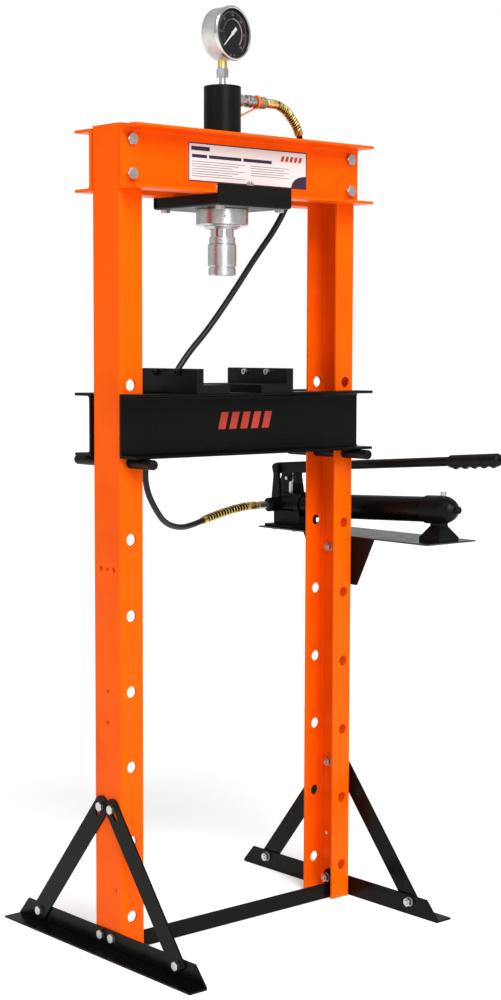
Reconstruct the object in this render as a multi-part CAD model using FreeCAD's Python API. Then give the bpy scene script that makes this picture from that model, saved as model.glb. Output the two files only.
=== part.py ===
import FreeCAD, Part
import math
import os

# Hydraulic shop press: an H-frame of two channel posts and a twin-channel head, a height-adjustable
# bed on two pins, a hydraulic ram with a gauge, and a hand pump on a side shelf, joined by a hose.
# Working frame, millimetres: x = 0 on the left post's outer web face, y = 0 on the posts' front
# faces (+y to the back), z = 0 on the floor.  The finished pieces are moved once, at the end, so
# that the origin is the centre of the base of the press without its hose.

V = FreeCAD.Vector
RIGHT, BACK, UP = V(1, 0, 0), V(0, 1, 0), V(0, 0, 1)
LEFT, FRONT, DOWN = V(-1, 0, 0), V(0, -1, 0), V(0, 0, -1)

# ---- frame -------------------------------------------------------------------------------------
FRAME_WIDTH = 622.0
POST_DEPTH = 92.0
POST_FLANGE = 53.0
POST_WALL = 5.0
POST_BEND = 8.0
POST_BOTTOM = 1.5
POST_TOP = 1621.0
MIDDLE_X = FRAME_WIDTH / 2
MIDDLE_Y = POST_DEPTH / 2

HOLE_COUNT = 8
HOLE_PITCH = 150.0
HOLE_FIRST = 73.5
HOLE_DIAMETER = 23.0
HOLE_INSET = 25.0

CHANNEL_FLANGE = 53.0
CHANNEL_WALL = 5.0
HEAD_TOP = 1617.0
HEAD_HEIGHT = 120.0
HEAD_BOTTOM = HEAD_TOP - HEAD_HEIGHT
HEAD_LENGTH = 625.0
HEAD_BOLT_INSET = 23.0
HEAD_BOLT_ROWS = (HEAD_TOP - 91.5, HEAD_TOP - 26.0)
LABEL_SIZE = (313.0, 75.0)
LABEL_CORNER = (163.0, HEAD_BOTTOM + 24.0)
LABEL_THICKNESS = 0.6

# ---- feet and struts ---------------------------------------------------------------------------
FOOT_REACH = 263.0
FOOT_LEG = 42.0
FOOT_WALL = 4.0
FOOT_CHAMFER = 32.0
FOOT_CHAMFER_START = 6.0
BOLT_SPREAD = 36.0
FOOT_BOLT_Z = 28.0
STRUT_BOLT_Z = 288.5
STRUT_REACH = 182.5
STRUT_WIDTH = 42.0
STRUT_THICKNESS = 4.0
STRUT_SLOT = 20.0
STRUT_TWIN_GAP = 1.0
STRUT_TOP = STRUT_BOLT_Z + STRUT_WIDTH / 2 + 0.2
STRUT_LEAN = (FOOT_WALL + 0.1) / (STRUT_TOP - FOOT_LEG)
CROSS_BAR_Y = 13.5
CROSS_BAR_HEIGHT = 33.0
CROSS_BAR_TAB = (60.0, 46.0)

# ---- bed ---------------------------------------------------------------------------------------
BED_PIN_HOLE = 6
BED_PIN_DIAMETER = 20.0
BED_PIN_FRONT = -74.0
BED_PIN_LENGTH = 252.0
BED_GAP = 1.2
BED_HEIGHT = 124.0
BED_LENGTH = 629.0
BED_SPACER_THICKNESS = 8.0
BED_SPACER_CLEARANCE = 6.0
REST_GAP = 0.3
PIN_Z = HOLE_FIRST + BED_PIN_HOLE * HOLE_PITCH - (HOLE_DIAMETER - BED_PIN_DIAMETER) / 2 + 0.3
BED_BOTTOM = PIN_Z + BED_PIN_DIAMETER / 2 + REST_GAP
BED_TOP = BED_BOTTOM + BED_HEIGHT
BED_FRONT = -BED_GAP - CHANNEL_FLANGE
BED_BACK = POST_DEPTH + BED_GAP + CHANNEL_FLANGE

BLOCK_WIDTH = 85.0
BLOCK_UPRIGHT = 17.0
BLOCK_HEIGHT = 48.0
BLOCK_BASE = 16.0
BLOCK_LENGTH = 187.0
LEFT_BLOCK_X = 145.0
RIGHT_BLOCK_X = 398.0
BLOCK_SCREW_Y = (4.5, 74.5)
BLOCK_SCREW_DROP = 7.5
BLOCK_SCREW = 8.0

# ---- ram ---------------------------------------------------------------------------------------
RAM_X = 292.5
CARRIAGE_WIDTH = 191.0
CARRIAGE_WALL = 4.0
CARRIAGE_BOTTOM = 1474.0
CARRIAGE_TOP = 1515.0
CARRIAGE_CORNER = 6.0
CARRIAGE_CLEARANCE = 0.3
CARRIAGE_BOLT_SPREAD = (156.0, 172.0)
CARRIAGE_SPACER_WIDTH = 30.0
CYLINDER_DIAMETER = 75.0
CYLINDER_BORE = 62.0
CYLINDER_BOTTOM = 1441.0
CYLINDER_TOP = 1719.0
CYLINDER_CAP = 16.0
RING_NUT_DIAMETER = 106.0
RING_NUT_BOTTOM = 1441.0
RING_SCREW_TURN = 35.2
RING_SCREW_DIAMETER = 6.2
GLAND_HEIGHT = 24.0
GLAND_LIP = 6.5
ROD_DIAMETER = 47.0
PISTON_HEIGHT = 28.0
SPRING_WIRE = 6.0
SPRING_TURNS = 9
HEAD_PIECE_TOP = 1419.0
HEAD_PIECE_BOTTOM = 1341.5
RUNNING_GAP = 0.06

# ---- gauge -------------------------------------------------------------------------------------
GAUGE_TURN = 9.5
GAUGE_CENTRE_Z = 1821.5
GAUGE_BEZEL = 108.0
GAUGE_CASE = 105.0
GAUGE_CASE_WALL = 1.3
GAUGE_FACE_AHEAD = 30.0
GAUGE_CASE_DEPTH = 43.0
STEM_FOOT_Z = 1757.0
STEM_TOP_Z = GAUGE_CENTRE_Z - GAUGE_BEZEL / 2 + 6.5
STEM_DIAMETER = 19.0
COUPLING_FOOT_Z = 1737.0

# ---- hand pump on its shelf ----------------------------------------------------------------------
SHELF_TOP = 792.0
SHELF_WALL = 3.0
SHELF_DEPTH = 148.0
SHELF_FRONT = -222.0
SHELF_BACK = 308.0
APRON_DROP = 105.0
APRON_TOP_WIDTH = 222.0
APRON_FOOT_WIDTH = 118.0
SHELF_BOLT_Z = 764.0
SHELF_BOLT_SPREAD = 42.0
PUMP_X = 697.0
PUMP_TILT = 2.53
PORT_Y = 304.0
PORT_Z = 836.5
HOSE_PORT_Z = 839.0
HOSE_BOSS_DIAMETER = 32.0
HOSE_BOSS_END = 645.0
VALVE_Y = 296.0
FILLER_Y = -198.0
TANK_DIAMETER = 54.0
TANK_WALL = 3.0
TANK_BACK = 228.0
TANK_FRONT = -150.0
CAP_DIAMETER = 60.0
PEDESTAL_Y = -184.0
PUMP_PLATE = 5.0
PUMP_BOLT_REACH = 45.0
PUMP_BOLT_Y = (218.0, 286.0)
PEDESTAL_BOLT_REACH = 20.0
PUMP_BOLT_DEPTH = 4.3
LEVER_TILT = 4.2
LEVER_Z = 945.5
LEVER_PIVOT_Y = 316.0
LEVER_PIN_Y = 281.0
LEVER_PIN_Z = 899.5
LEVER_TUBE = 20.0
LEVER_HEAD_FRONT = 198.0
LEVER_HEAD_BACK = 331.0
LEVER_HEAD_HEIGHT = 26.0
LEVER_HEAD_DROP = 1.5
LEVER_HEAD_HALF_WIDTH = 12.2
LEVER_TUBE_BACK = 234.0
LEVER_FRONT = -214.0
LEVER_TUBE_FRONT = -334.0
GRIP_END = -350.0
GRIP_DIAMETER = 25.0
GRIP_BUMPS = 5
PLUNGER_DIAMETER = 10.0
PLUNGER_FOOT_Z = 803.0
PLUNGER_PIN = 8.0
PLUNGER_EYE = 5.6
CHEEK_THICKNESS = 3.5
PIVOT_PIN = 10.0
PIVOT_BLIND_WALL = 1.0
LUG_OFFSET = 12.5
LUG_THICKNESS = 7.0
LUG_EYE = 19.0
VALVE_DIAMETER = 12.0
KNOB_DIAMETER = 30.0
KNOB_FLUTES = 8
FILLER_SHANK = 8.0

# ---- hose --------------------------------------------------------------------------------------
HOSE_DIAMETER = 13.0
RAM_PORT_Z = 1696.0
GUARD_OUTER = 20.0
GUARD_INNER = 14.0
FERRULE_LENGTH = 27.0
RAM_FERRULE_X = 410.0
COUPLER_START = RAM_X + CYLINDER_DIAMETER / 2 + 23.2
PUMP_FERRULE_X = 611.0
# The hose's route from the ram's ferrule to the pump's ferrule.
HOSE_ROUTE = [
    (437.3, 46, 1696), (461, 48, 1690), (485, 54, 1675), (506.2, 57.5, 1655.9), (520.7, 61.9, 1629.3),
    (523.9, 67.2, 1598.1), (516.3, 71, 1559.8), (501.8, 72.5, 1510.6), (477.8, 89.7, 1448.8),
    (450, 121, 1390), (420, 146, 1328), (386, 163, 1272), (348, 168, 1226), (305, 169, 1186),
    (266, 172, 1136), (239, 176, 1077), (224, 182, 1015), (206.9, 193.3, 952.8), (217.5, 202.3, 898.9),
    (255.1, 217.5, 853.1), (300.4, 242.5, 820.4), (356.5, 263.3, 806.1), (406.6, 280.2, 808.8),
    (454.9, 288.5, 819.9), (502, 294.7, 828.8), (547, 300.8, 835.8), (584, 304, 839)]

M8 = {"shank": 8.0, "flats": 13.0, "head": 5.5, "nut": 6.5}
# The middle bolts have a tall nut that stands above the tray's edge.
M8_TALL = {"shank": 8.0, "flats": 13.0, "head": 5.5, "nut": 18.5}
M10 = {"shank": 10.0, "flats": 17.0, "head": 6.5, "nut": 8.0}
M14 = {"shank": 14.0, "flats": 21.0, "head": 8.8, "nut": 11.0}


# ---- solid helpers -----------------------------------------------------------------------------
def slab(x0, x1, y0, y1, z0, z1):
    """A block between two corners."""
    return Part.makeBox(x1 - x0, y1 - y0, z1 - z0, V(x0, y0, z0))


def rod(start, direction, diameter, length):
    return Part.makeCylinder(diameter / 2, length, start, direction)


def sleeve(start, direction, outer, inner, length):
    return rod(start, direction, outer, length).cut(rod(start, direction, inner, length))


def joined(shapes):
    whole = shapes[0].fuse(shapes[1:])
    return whole.removeSplitter()


def group(shapes):
    """Separate solids that share one node."""
    return Part.makeCompound(shapes)


def prism(points, direction):
    """The closed outline of the points, extruded along a vector."""
    return Part.Face(Part.makePolygon(points + [points[0]])).extrude(direction)


def placed(shape, base, direction):
    """A shape built up the z axis from the origin, stood at a point along a direction."""
    shape.Placement = FreeCAD.Placement(base, FreeCAD.Rotation(UP, direction))
    return shape


def turned(profile, base, direction):
    """A turned piece: (radius, height) points revolved about the axis."""
    face = Part.Face(Part.makePolygon([V(r, 0, h) for r, h in profile + [profile[0]]]))
    return placed(face.revolve(V(0, 0, 0), UP, 360), base, direction)


def rounded(shape, radius, wanted):
    """Fillet the straight edges whose middle point passes the test."""
    edges = [e for e in shape.Edges if wanted(e.CenterOfMass, e)]
    return shape.makeFillet(radius, edges)


def runs_along(edge, axis):
    span = edge.Vertexes[-1].Point - edge.Vertexes[0].Point
    return span.Length > 0.01 and span.cross(axis).Length < 0.01 * span.Length


def mirrored(shape):
    """The same piece on the other side of the press."""
    return shape.mirror(V(MIDDLE_X, 0, 0), RIGHT)


def mirrored_back(shape):
    """The same piece on the other face of the posts."""
    return shape.mirror(V(0, MIDDLE_Y, 0), BACK)


def half_turned(shape):
    """The same piece turned half a turn about the middle of the press."""
    turned_piece = shape.copy()
    turned_piece.rotate(V(MIDDLE_X, MIDDLE_Y, 0), UP, 180)
    return turned_piece


def hexagon(base, direction, flats, height, bore=0.0):
    """A hexagon with its outer corners bevelled."""
    corner = flats / math.sqrt(3)
    points = [V(corner * math.cos(math.radians(60 * i)), corner * math.sin(math.radians(60 * i)), 0)
              for i in range(6)]
    block = prism(points, V(0, 0, height))
    bevel = corner - flats / 2
    envelope = [(0, 0), (corner, 0), (corner, height - bevel * 0.6), (flats / 2, height), (0, height)]
    block = block.common(turned(envelope, V(0, 0, 0), UP))
    if bore:
        block = block.cut(rod(V(0, 0, -1), UP, bore, height + 2))
    return placed(block, base, direction)


def bolt_and_nut(seat, direction, size, grip):
    """A hexagon bolt whose head bears on the seat, with a washer and a nut past the grip."""
    washer = 1.6
    head = hexagon(seat, direction * -1, size["flats"], size["head"])
    shank = rod(seat, direction, size["shank"], grip + washer + size["nut"] + 3)
    bore = size["shank"] + 0.3
    washer_ring = sleeve(seat + direction * grip, direction, size["shank"] * 2, bore, washer)
    nut = hexagon(seat + direction * (grip + washer), direction, size["flats"], size["nut"], bore)
    return [head.fuse(shank).removeSplitter(), washer_ring, nut]


def socket_screw(seat, direction, diameter, head, length):
    """A cylinder-head screw with a hexagon socket; its head stands outside the seat."""
    cap = rod(seat, direction * -1, head, head * 0.6)
    socket = hexagon(seat - direction * (head * 0.6), direction, head * 0.5, head * 0.35)
    return cap.cut(socket).fuse(rod(seat, direction, diameter, length)).removeSplitter()


# ---- frame -------------------------------------------------------------------------------------
def row(spread):
    """The two places, one each side of the post's middle."""
    return (MIDDLE_Y - spread / 2, MIDDLE_Y + spread / 2)


def post():
    """The left post: a bent channel open towards the middle, with its rows of holes."""
    outer = slab(0, POST_FLANGE, 0, POST_DEPTH, POST_BOTTOM, POST_TOP)
    outer = rounded(outer, POST_BEND, lambda c, e: c.x < 1 and runs_along(e, UP))
    inner = slab(POST_WALL, POST_FLANGE + 1, POST_WALL, POST_DEPTH - POST_WALL,
                 POST_BOTTOM - 1, POST_TOP + 1)
    inner = rounded(inner, POST_BEND - POST_WALL, lambda c, e: c.x < POST_WALL + 1 and runs_along(e, UP))
    holes = [rod(V(HOLE_INSET, -1, HOLE_FIRST + i * HOLE_PITCH), BACK, HOLE_DIAMETER, POST_DEPTH + 2)
             for i in range(HOLE_COUNT)]
    holes += [rod(V(HEAD_BOLT_INSET, -1, z), BACK, M14["shank"] + 1, POST_DEPTH + 2)
              for z in HEAD_BOLT_ROWS]
    rows = ((FOOT_BOLT_Z, BOLT_SPREAD), (STRUT_BOLT_Z, BOLT_SPREAD), (SHELF_BOLT_Z, SHELF_BOLT_SPREAD))
    for z, spread in rows:
        holes += [rod(V(-1, y, z), RIGHT, M10["shank"] + 1, POST_WALL + 2) for y in row(spread)]
    spare = ((MIDDLE_Y, SHELF_BOLT_Z), (MIDDLE_Y, 522.0), (MIDDLE_Y, 459.5), (19.0, 125.5))
    holes += [rod(V(-1, y, z), RIGHT, M8["shank"] + 1, POST_WALL + 2) for y, z in spare]
    return outer.cut(inner).cut(holes)


def channel(length, height, bottom, gap):
    """A front channel: its web near the posts' front face and its flanges pointing forward."""
    x0 = MIDDLE_X - length / 2
    front = -gap - CHANNEL_FLANGE
    body = slab(x0, x0 + length, front, -gap, bottom, bottom + height)
    hollow = slab(x0 - 1, x0 + length + 1, front - 1, -gap - CHANNEL_WALL,
                  bottom + CHANNEL_WALL + 0.8, bottom + height - CHANNEL_WALL - 0.8)
    hollow = rounded(hollow, 6.0, lambda c, e: c.y > -gap - CHANNEL_WALL - 1 and runs_along(e, RIGHT))
    body = body.cut(hollow)
    top = bottom + height
    body = rounded(body, 2.5, lambda c, e: (
        c.y < front + 0.1 and runs_along(e, RIGHT) and bottom + 1 < c.z < top - 1))
    return rounded(body, 1.2, lambda c, e: (
        runs_along(e, RIGHT) and (c.z < bottom + 0.1 or c.z > top - 0.1)))


def head_channel():
    bolt_x = (HEAD_BOLT_INSET, FRAME_WIDTH - HEAD_BOLT_INSET)
    holes = [rod(V(x, -CHANNEL_WALL - 1, z), BACK, M14["shank"] + 1, CHANNEL_WALL + 2)
             for x in bolt_x for z in HEAD_BOLT_ROWS]
    holes += [rod(V(x, y, HEAD_BOTTOM - 1), UP, size["shank"] + 1, CHANNEL_WALL + 2)
              for x, y, size in carriage_bolt_places()]
    return channel(HEAD_LENGTH, HEAD_HEIGHT, HEAD_BOTTOM, 0.0).cut(holes)


def head_bolts():
    grip = CHANNEL_WALL + POST_WALL
    pieces = []
    for x in (HEAD_BOLT_INSET, FRAME_WIDTH - HEAD_BOLT_INSET):
        for z in HEAD_BOLT_ROWS:
            pieces += bolt_and_nut(V(x, -CHANNEL_WALL, z), BACK, M14, grip)
            pieces += bolt_and_nut(V(x, POST_DEPTH + CHANNEL_WALL, z), FRONT, M14, grip)
    return group(pieces)


def label_plate():
    x0, z0 = LABEL_CORNER
    width, height = LABEL_SIZE
    y1 = -CHANNEL_WALL
    return slab(x0, x0 + width, y1 - LABEL_THICKNESS, y1, z0, z0 + height)


def foot():
    """The left foot: an angle with its flat leg on the floor and its ends cut on the slant."""
    front, back = -FOOT_REACH, POST_DEPTH + FOOT_REACH
    flat = slab(-FOOT_LEG, 0, front, back, 0, FOOT_WALL)
    upright = prism([V(0, front, 0), V(0, front, FOOT_CHAMFER_START), V(0, front + FOOT_CHAMFER, FOOT_LEG),
                     V(0, back - FOOT_CHAMFER, FOOT_LEG), V(0, back, FOOT_CHAMFER_START), V(0, back, 0)],
                    V(-FOOT_WALL, 0, 0))
    angle = joined([flat, upright])
    places = list(row(BOLT_SPREAD)) + [-STRUT_REACH, POST_DEPTH + STRUT_REACH]
    holes = [rod(V(-FOOT_WALL - 1, y, FOOT_BOLT_Z), RIGHT, M10["shank"] + 1, FOOT_WALL + 2) for y in places]
    return angle.cut(holes)


def strut():
    """The left front strut: a flat bar from the foot's outside up to the post's web, clear of its twin."""
    low = V(0, -STRUT_REACH, FOOT_BOLT_Z)
    high = V(0, row(BOLT_SPREAD)[0], STRUT_BOLT_Z)
    along = (high - low).normalize()
    across = along.cross(RIGHT)
    half = across * (STRUT_WIDTH / 2)
    end = low - along * 12
    thick = V(-STRUT_THICKNESS, 0, 0)
    bar = prism([end + half, high + half, high - half, end - half], thick)
    bar = joined([bar, rod(high, LEFT, STRUT_WIDTH, STRUT_THICKNESS)])
    hole = M10["shank"] + 1
    slot_end = high - along * STRUT_SLOT
    narrow = across * (hole / 2)
    slot = prism([slot_end + narrow, high + narrow, high - narrow, slot_end - narrow], thick)
    cuts = [slot, rod(high, LEFT, hole, STRUT_THICKNESS), rod(slot_end, LEFT, hole, STRUT_THICKNESS),
            rod(low, LEFT, hole, STRUT_THICKNESS)]
    cuts.append(slab(-FOOT_LEG, FOOT_LEG, MIDDLE_Y - STRUT_TWIN_GAP, POST_DEPTH, 0, POST_TOP))
    bar = bar.cut(cuts)
    bar.rotate(V(0, 0, STRUT_TOP), BACK, math.degrees(math.atan(STRUT_LEAN)))
    return bar


def strut_stand_off(z):
    """How far a strut's inner face stands out from the post's web at a height."""
    return STRUT_LEAN * (STRUT_TOP - z)


def frame_bolts():
    """The bolts through feet, posts, cross bar and struts."""
    pieces = []
    gap = 0.3
    for y in row(BOLT_SPREAD):
        foot_grip = FOOT_WALL + POST_WALL + STRUT_THICKNESS
        pieces += bolt_and_nut(V(-FOOT_WALL, y, FOOT_BOLT_Z), RIGHT, M10, foot_grip)
        outside = strut_stand_off(STRUT_BOLT_Z) + STRUT_THICKNESS + gap
        pieces += bolt_and_nut(V(-outside, y, STRUT_BOLT_Z), RIGHT, M10, outside + POST_WALL)
    for y in (-STRUT_REACH, POST_DEPTH + STRUT_REACH):
        outside = strut_stand_off(FOOT_BOLT_Z) + STRUT_THICKNESS + gap
        pieces += bolt_and_nut(V(-outside, y, FOOT_BOLT_Z), RIGHT, M10, outside)
    return group(pieces + [mirrored(p) for p in pieces])


def cross_bar():
    """The flat bar between the posts near the floor, with a bolted tab at each end."""
    x0, x1 = POST_WALL, FRAME_WIDTH - POST_WALL
    wall = STRUT_THICKNESS
    depth, height = CROSS_BAR_TAB
    bar = slab(x0, x1, CROSS_BAR_Y, CROSS_BAR_Y + wall, POST_BOTTOM, POST_BOTTOM + CROSS_BAR_HEIGHT)
    tab = slab(x0, x0 + wall, CROSS_BAR_Y, CROSS_BAR_Y + depth, POST_BOTTOM, POST_BOTTOM + height)
    tab = rounded(tab, 14, lambda c, e: c.z > height and runs_along(e, RIGHT) and c.y > MIDDLE_Y)
    holes = [rod(V(x0 - 1, y, FOOT_BOLT_Z), RIGHT, M10["shank"] + 1, wall + 2) for y in row(BOLT_SPREAD)]
    tab = tab.cut(holes)
    return joined([bar, tab, mirrored(tab)])


# ---- bed ---------------------------------------------------------------------------------------
def bed_channel():
    return channel(BED_LENGTH, BED_HEIGHT, BED_BOTTOM, BED_GAP)


def bed_spacers():
    """Plates welded between the two bed channels just inside the posts, which steer the bed."""
    x0 = POST_FLANGE + BED_SPACER_CLEARANCE
    plate = slab(x0, x0 + BED_SPACER_THICKNESS, -BED_GAP, POST_DEPTH + BED_GAP,
                 BED_BOTTOM + 18, BED_TOP - 18)
    return group([plate, mirrored(plate)])


def bed_pin():
    """The left pin: a round bar through both flanges, its ends rounded."""
    radius = BED_PIN_DIAMETER / 2
    soft = 3.5
    profile = [(0, 0), (radius - soft, 0), (radius - 1, 1), (radius, soft),
               (radius, BED_PIN_LENGTH - soft), (radius - 1, BED_PIN_LENGTH - 1),
               (radius - soft, BED_PIN_LENGTH), (0, BED_PIN_LENGTH)]
    return turned(profile, V(HOLE_INSET, BED_PIN_FRONT, PIN_Z), BACK)


def press_block(outer_x, inward):
    """An angle-shaped block across both channels, its upright on the outside."""
    x1 = outer_x + inward * BLOCK_WIDTH
    step = outer_x + inward * BLOCK_UPRIGHT
    z0 = BED_TOP + 0.1
    outline = [V(outer_x, BED_FRONT, z0), V(x1, BED_FRONT, z0), V(x1, BED_FRONT, z0 + BLOCK_BASE),
               V(step, BED_FRONT, z0 + BLOCK_BASE), V(step, BED_FRONT, z0 + BLOCK_HEIGHT),
               V(outer_x, BED_FRONT, z0 + BLOCK_HEIGHT)]
    block = prism(outline, V(0, BLOCK_LENGTH, 0))
    z = z0 + BLOCK_HEIGHT - BLOCK_SCREW_DROP
    start = min(outer_x, step) - 1
    holes = [rod(V(start, y, z), RIGHT, BLOCK_SCREW + 0.2, BLOCK_UPRIGHT + 2) for y in BLOCK_SCREW_Y]
    return rounded(block.cut(holes), 1.2, lambda c, e: runs_along(e, BACK) and c.z > z0 + 1)


def block_screws(outer_x, inward):
    """Socket screws through the upright, their heads on its left side."""
    seat = min(outer_x, outer_x + inward * BLOCK_UPRIGHT)
    z = BED_TOP + 0.1 + BLOCK_HEIGHT - BLOCK_SCREW_DROP
    return group([socket_screw(V(seat, y, z), RIGHT, BLOCK_SCREW, BLOCK_SCREW * 1.5, BLOCK_UPRIGHT - 4)
                  for y in BLOCK_SCREW_Y])


# ---- ram ---------------------------------------------------------------------------------------
def carriage_bolt_places():
    """x, y and size of the front bolts under the head: the tray's two and the tall nut's in the middle."""
    x_spread, y_spread = CARRIAGE_BOLT_SPREAD
    y = MIDDLE_Y - y_spread / 2
    return [(RAM_X - x_spread / 2, y, M10), (RAM_X, y, M8_TALL), (RAM_X + x_spread / 2, y, M10)]


def carriage_tray():
    """The folded tray that hangs under the head and carries the cylinder."""
    x0 = RAM_X - CARRIAGE_WIDTH / 2
    x1 = x0 + CARRIAGE_WIDTH
    front = -CHANNEL_FLANGE - CARRIAGE_CLEARANCE - CARRIAGE_WALL
    back = POST_DEPTH - front
    outer = slab(x0, x1, front, back, CARRIAGE_BOTTOM, CARRIAGE_TOP)
    outer = rounded(outer, 3, lambda c, e: runs_along(e, RIGHT) and c.z < CARRIAGE_BOTTOM + 0.1)
    inner = slab(x0 - 1, x1 + 1, front + CARRIAGE_WALL, back - CARRIAGE_WALL,
                 CARRIAGE_BOTTOM + CARRIAGE_WALL, CARRIAGE_TOP + 1)
    cuts = [inner]
    r = CARRIAGE_CORNER
    for corner, centre in ((x0, x0 + r), (x1, x1 - r)):
        beyond = corner + (corner - centre) / r
        square = slab(min(beyond, centre), max(beyond, centre), front - 1, back + 1,
                      CARRIAGE_BOTTOM - 1, CARRIAGE_BOTTOM + r)
        inside = rod(V(centre, front - 1, CARRIAGE_BOTTOM + r), BACK, 2 * r, back - front + 2)
        cuts.append(square.cut(inside))
    hole = M10["shank"] + 1
    for x, y, size in carriage_bolt_places():
        if size is M10:
            cuts += [rod(V(x, place, CARRIAGE_BOTTOM - 1), UP, hole, CARRIAGE_WALL + 2)
                     for place in (y, POST_DEPTH - y)]
    cuts.append(rod(on_ram(CARRIAGE_BOTTOM - 1), UP, CYLINDER_DIAMETER + 0.4, CARRIAGE_WALL + 2))
    return outer.cut(cuts)


def carriage_spacers():
    """Two bars from front to back that fill the space between the tray and the head's flanges."""
    x_spread, y_spread = CARRIAGE_BOLT_SPREAD
    half = CARRIAGE_SPACER_WIDTH / 2
    bars = []
    for x in (RAM_X - x_spread / 2, RAM_X + x_spread / 2):
        bar = slab(x - half, x + half, 1 - CHANNEL_FLANGE, POST_DEPTH + CHANNEL_FLANGE - 1,
                   CARRIAGE_BOTTOM + CARRIAGE_WALL, HEAD_BOTTOM)
        holes = [rod(V(x, y, CARRIAGE_BOTTOM), UP, M10["shank"] + 1, HEAD_HEIGHT) for y in row(y_spread)]
        bars.append(bar.cut(holes))
    return group(bars)


def carriage_bolts():
    """The tray's bolts, the middle bolts in the head's flanges, and the ring nut's set screw."""
    pieces = []
    for x, y, size in carriage_bolt_places():
        seat = CARRIAGE_BOTTOM if size is M10 else HEAD_BOTTOM
        grip = HEAD_BOTTOM - seat + CHANNEL_WALL + 0.8
        for place in (y, POST_DEPTH - y):
            pieces += bolt_and_nut(V(x, place, seat), UP, size, grip)
    return group(pieces + [ring_screw()])


def on_ram(z):
    return V(RAM_X, MIDDLE_Y, z)


def cylinder_tube():
    """The cylinder: a thick tube closed at the top, with a port in its side and one for the gauge."""
    r = CYLINDER_DIAMETER / 2
    height = CYLINDER_TOP - CYLINDER_BOTTOM
    profile = [(0, height - CYLINDER_CAP), (CYLINDER_BORE / 2, height - CYLINDER_CAP), (CYLINDER_BORE / 2, 0),
               (r - 1, 0), (r, 1), (r, height - 1), (r - 1, height), (0, height)]
    tube = turned(profile, on_ram(CYLINDER_BOTTOM), UP)
    gauge_port = rod(on_ram(CYLINDER_TOP - CYLINDER_CAP - 1), UP, 8, CYLINDER_CAP + 2)
    side_port = rod(V(RAM_X, MIDDLE_Y, RAM_PORT_Z), RIGHT, 10, r + 1)
    side_port = side_port.cut(rod(on_ram(RAM_PORT_Z - 10), UP, CYLINDER_BORE - 2, 20))
    return tube.cut([gauge_port, side_port])


def ring_nut():
    """The big ring nut below the tray, with a bevelled lower edge and a hole for its set screw."""
    r, bore = RING_NUT_DIAMETER / 2, CYLINDER_DIAMETER / 2 + 0.1
    height = CARRIAGE_BOTTOM - RING_NUT_BOTTOM
    profile = [(bore, 0), (r - 2.5, 0), (r, 2.5), (r, height - 1), (r - 1, height), (bore, height)]
    ring = turned(profile, on_ram(RING_NUT_BOTTOM), UP)
    outward = ring_screw_direction()
    start = on_ram(RING_NUT_BOTTOM + height / 2) + outward * (bore + 1)
    return ring.cut(rod(start, outward, RING_SCREW_DIAMETER, r))


def ring_screw_direction():
    angle = math.radians(RING_SCREW_TURN)
    return V(-math.sin(angle), -math.cos(angle), 0)


def ring_screw():
    """The set screw that locks the ring nut, sunk in its hole."""
    outward = ring_screw_direction()
    start = on_ram((RING_NUT_BOTTOM + CARRIAGE_BOTTOM) / 2) + outward * (CYLINDER_DIAMETER / 2 + 2)
    length = 12
    socket = hexagon(start + outward * length, outward * -1, 3, 3)
    return rod(start, outward, RING_SCREW_DIAMETER - 0.2, length).cut(socket)


def cylinder_gland():
    """The gland that guides the rod: a sleeve in the cylinder's mouth and a lip below it."""
    bore = ROD_DIAMETER / 2 + RUNNING_GAP
    r = CYLINDER_DIAMETER / 2
    profile = [(bore, 0), (r - 4.5, 0), (r, GLAND_LIP - 1.5), (r, GLAND_LIP), (CYLINDER_BORE / 2, GLAND_LIP),
               (CYLINDER_BORE / 2, GLAND_LIP + GLAND_HEIGHT), (bore, GLAND_LIP + GLAND_HEIGHT)]
    gland = turned(profile, on_ram(CYLINDER_BOTTOM - GLAND_LIP), UP)
    return gland.cut(rod(on_ram(CYLINDER_BOTTOM - GLAND_LIP - 1), UP, ROD_DIAMETER + 8, 4))


def piston():
    z = CYLINDER_TOP - CYLINDER_CAP - PISTON_HEIGHT - 1
    return rod(on_ram(z), UP, CYLINDER_BORE - 2 * RUNNING_GAP, PISTON_HEIGHT)


def piston_rod():
    top = CYLINDER_TOP - CYLINDER_CAP - PISTON_HEIGHT - 1
    return rod(on_ram(HEAD_PIECE_TOP - 12), UP, ROD_DIAMETER, top - HEAD_PIECE_TOP + 12)


def press_head():
    """The turned pressing piece on the rod's end: collar, body, groove and lower band."""
    height = HEAD_PIECE_TOP - HEAD_PIECE_BOTTOM
    profile = [(0, 0), (26.5, 0), (27.7, 1.2), (27.7, 14.5), (26.2, 15.5), (26.2, 17), (28.2, 18), (29, 19.5),
               (29, 61.5), (27.5, 63.5), (26.3, 63.5), (26.3, height - 1), (25.3, height), (0, height)]
    head = turned(profile, on_ram(HEAD_PIECE_BOTTOM), UP)
    return head.cut(rod(on_ram(HEAD_PIECE_TOP - 12), UP, ROD_DIAMETER, 13))


def return_spring():
    """The spring in the cylinder that lifts the rod, from the gland to the piston."""
    bottom = CYLINDER_BOTTOM + GLAND_HEIGHT + SPRING_WIRE / 2 + 0.3
    top = CYLINDER_TOP - CYLINDER_CAP - PISTON_HEIGHT - 1 - SPRING_WIRE / 2 - 0.3
    radius = (ROD_DIAMETER + CYLINDER_BORE) / 4
    helix = Part.makeHelix((top - bottom) / SPRING_TURNS, top - bottom, radius)
    section = Part.Wire([Part.makeCircle(SPRING_WIRE / 2, V(radius, 0, 0), BACK)])
    spring = Part.Wire(helix.Edges).makePipeShell([section], True, True)
    return spring.translated(on_ram(bottom))


# ---- gauge -------------------------------------------------------------------------------------
def gauge_facing():
    angle = math.radians(GAUGE_TURN)
    return V(math.sin(angle), -math.cos(angle), 0)


def on_gauge(ahead):
    """A point on the dial's axis, measured forward from the stem."""
    return on_ram(GAUGE_CENTRE_Z) + gauge_facing() * ahead


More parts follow.
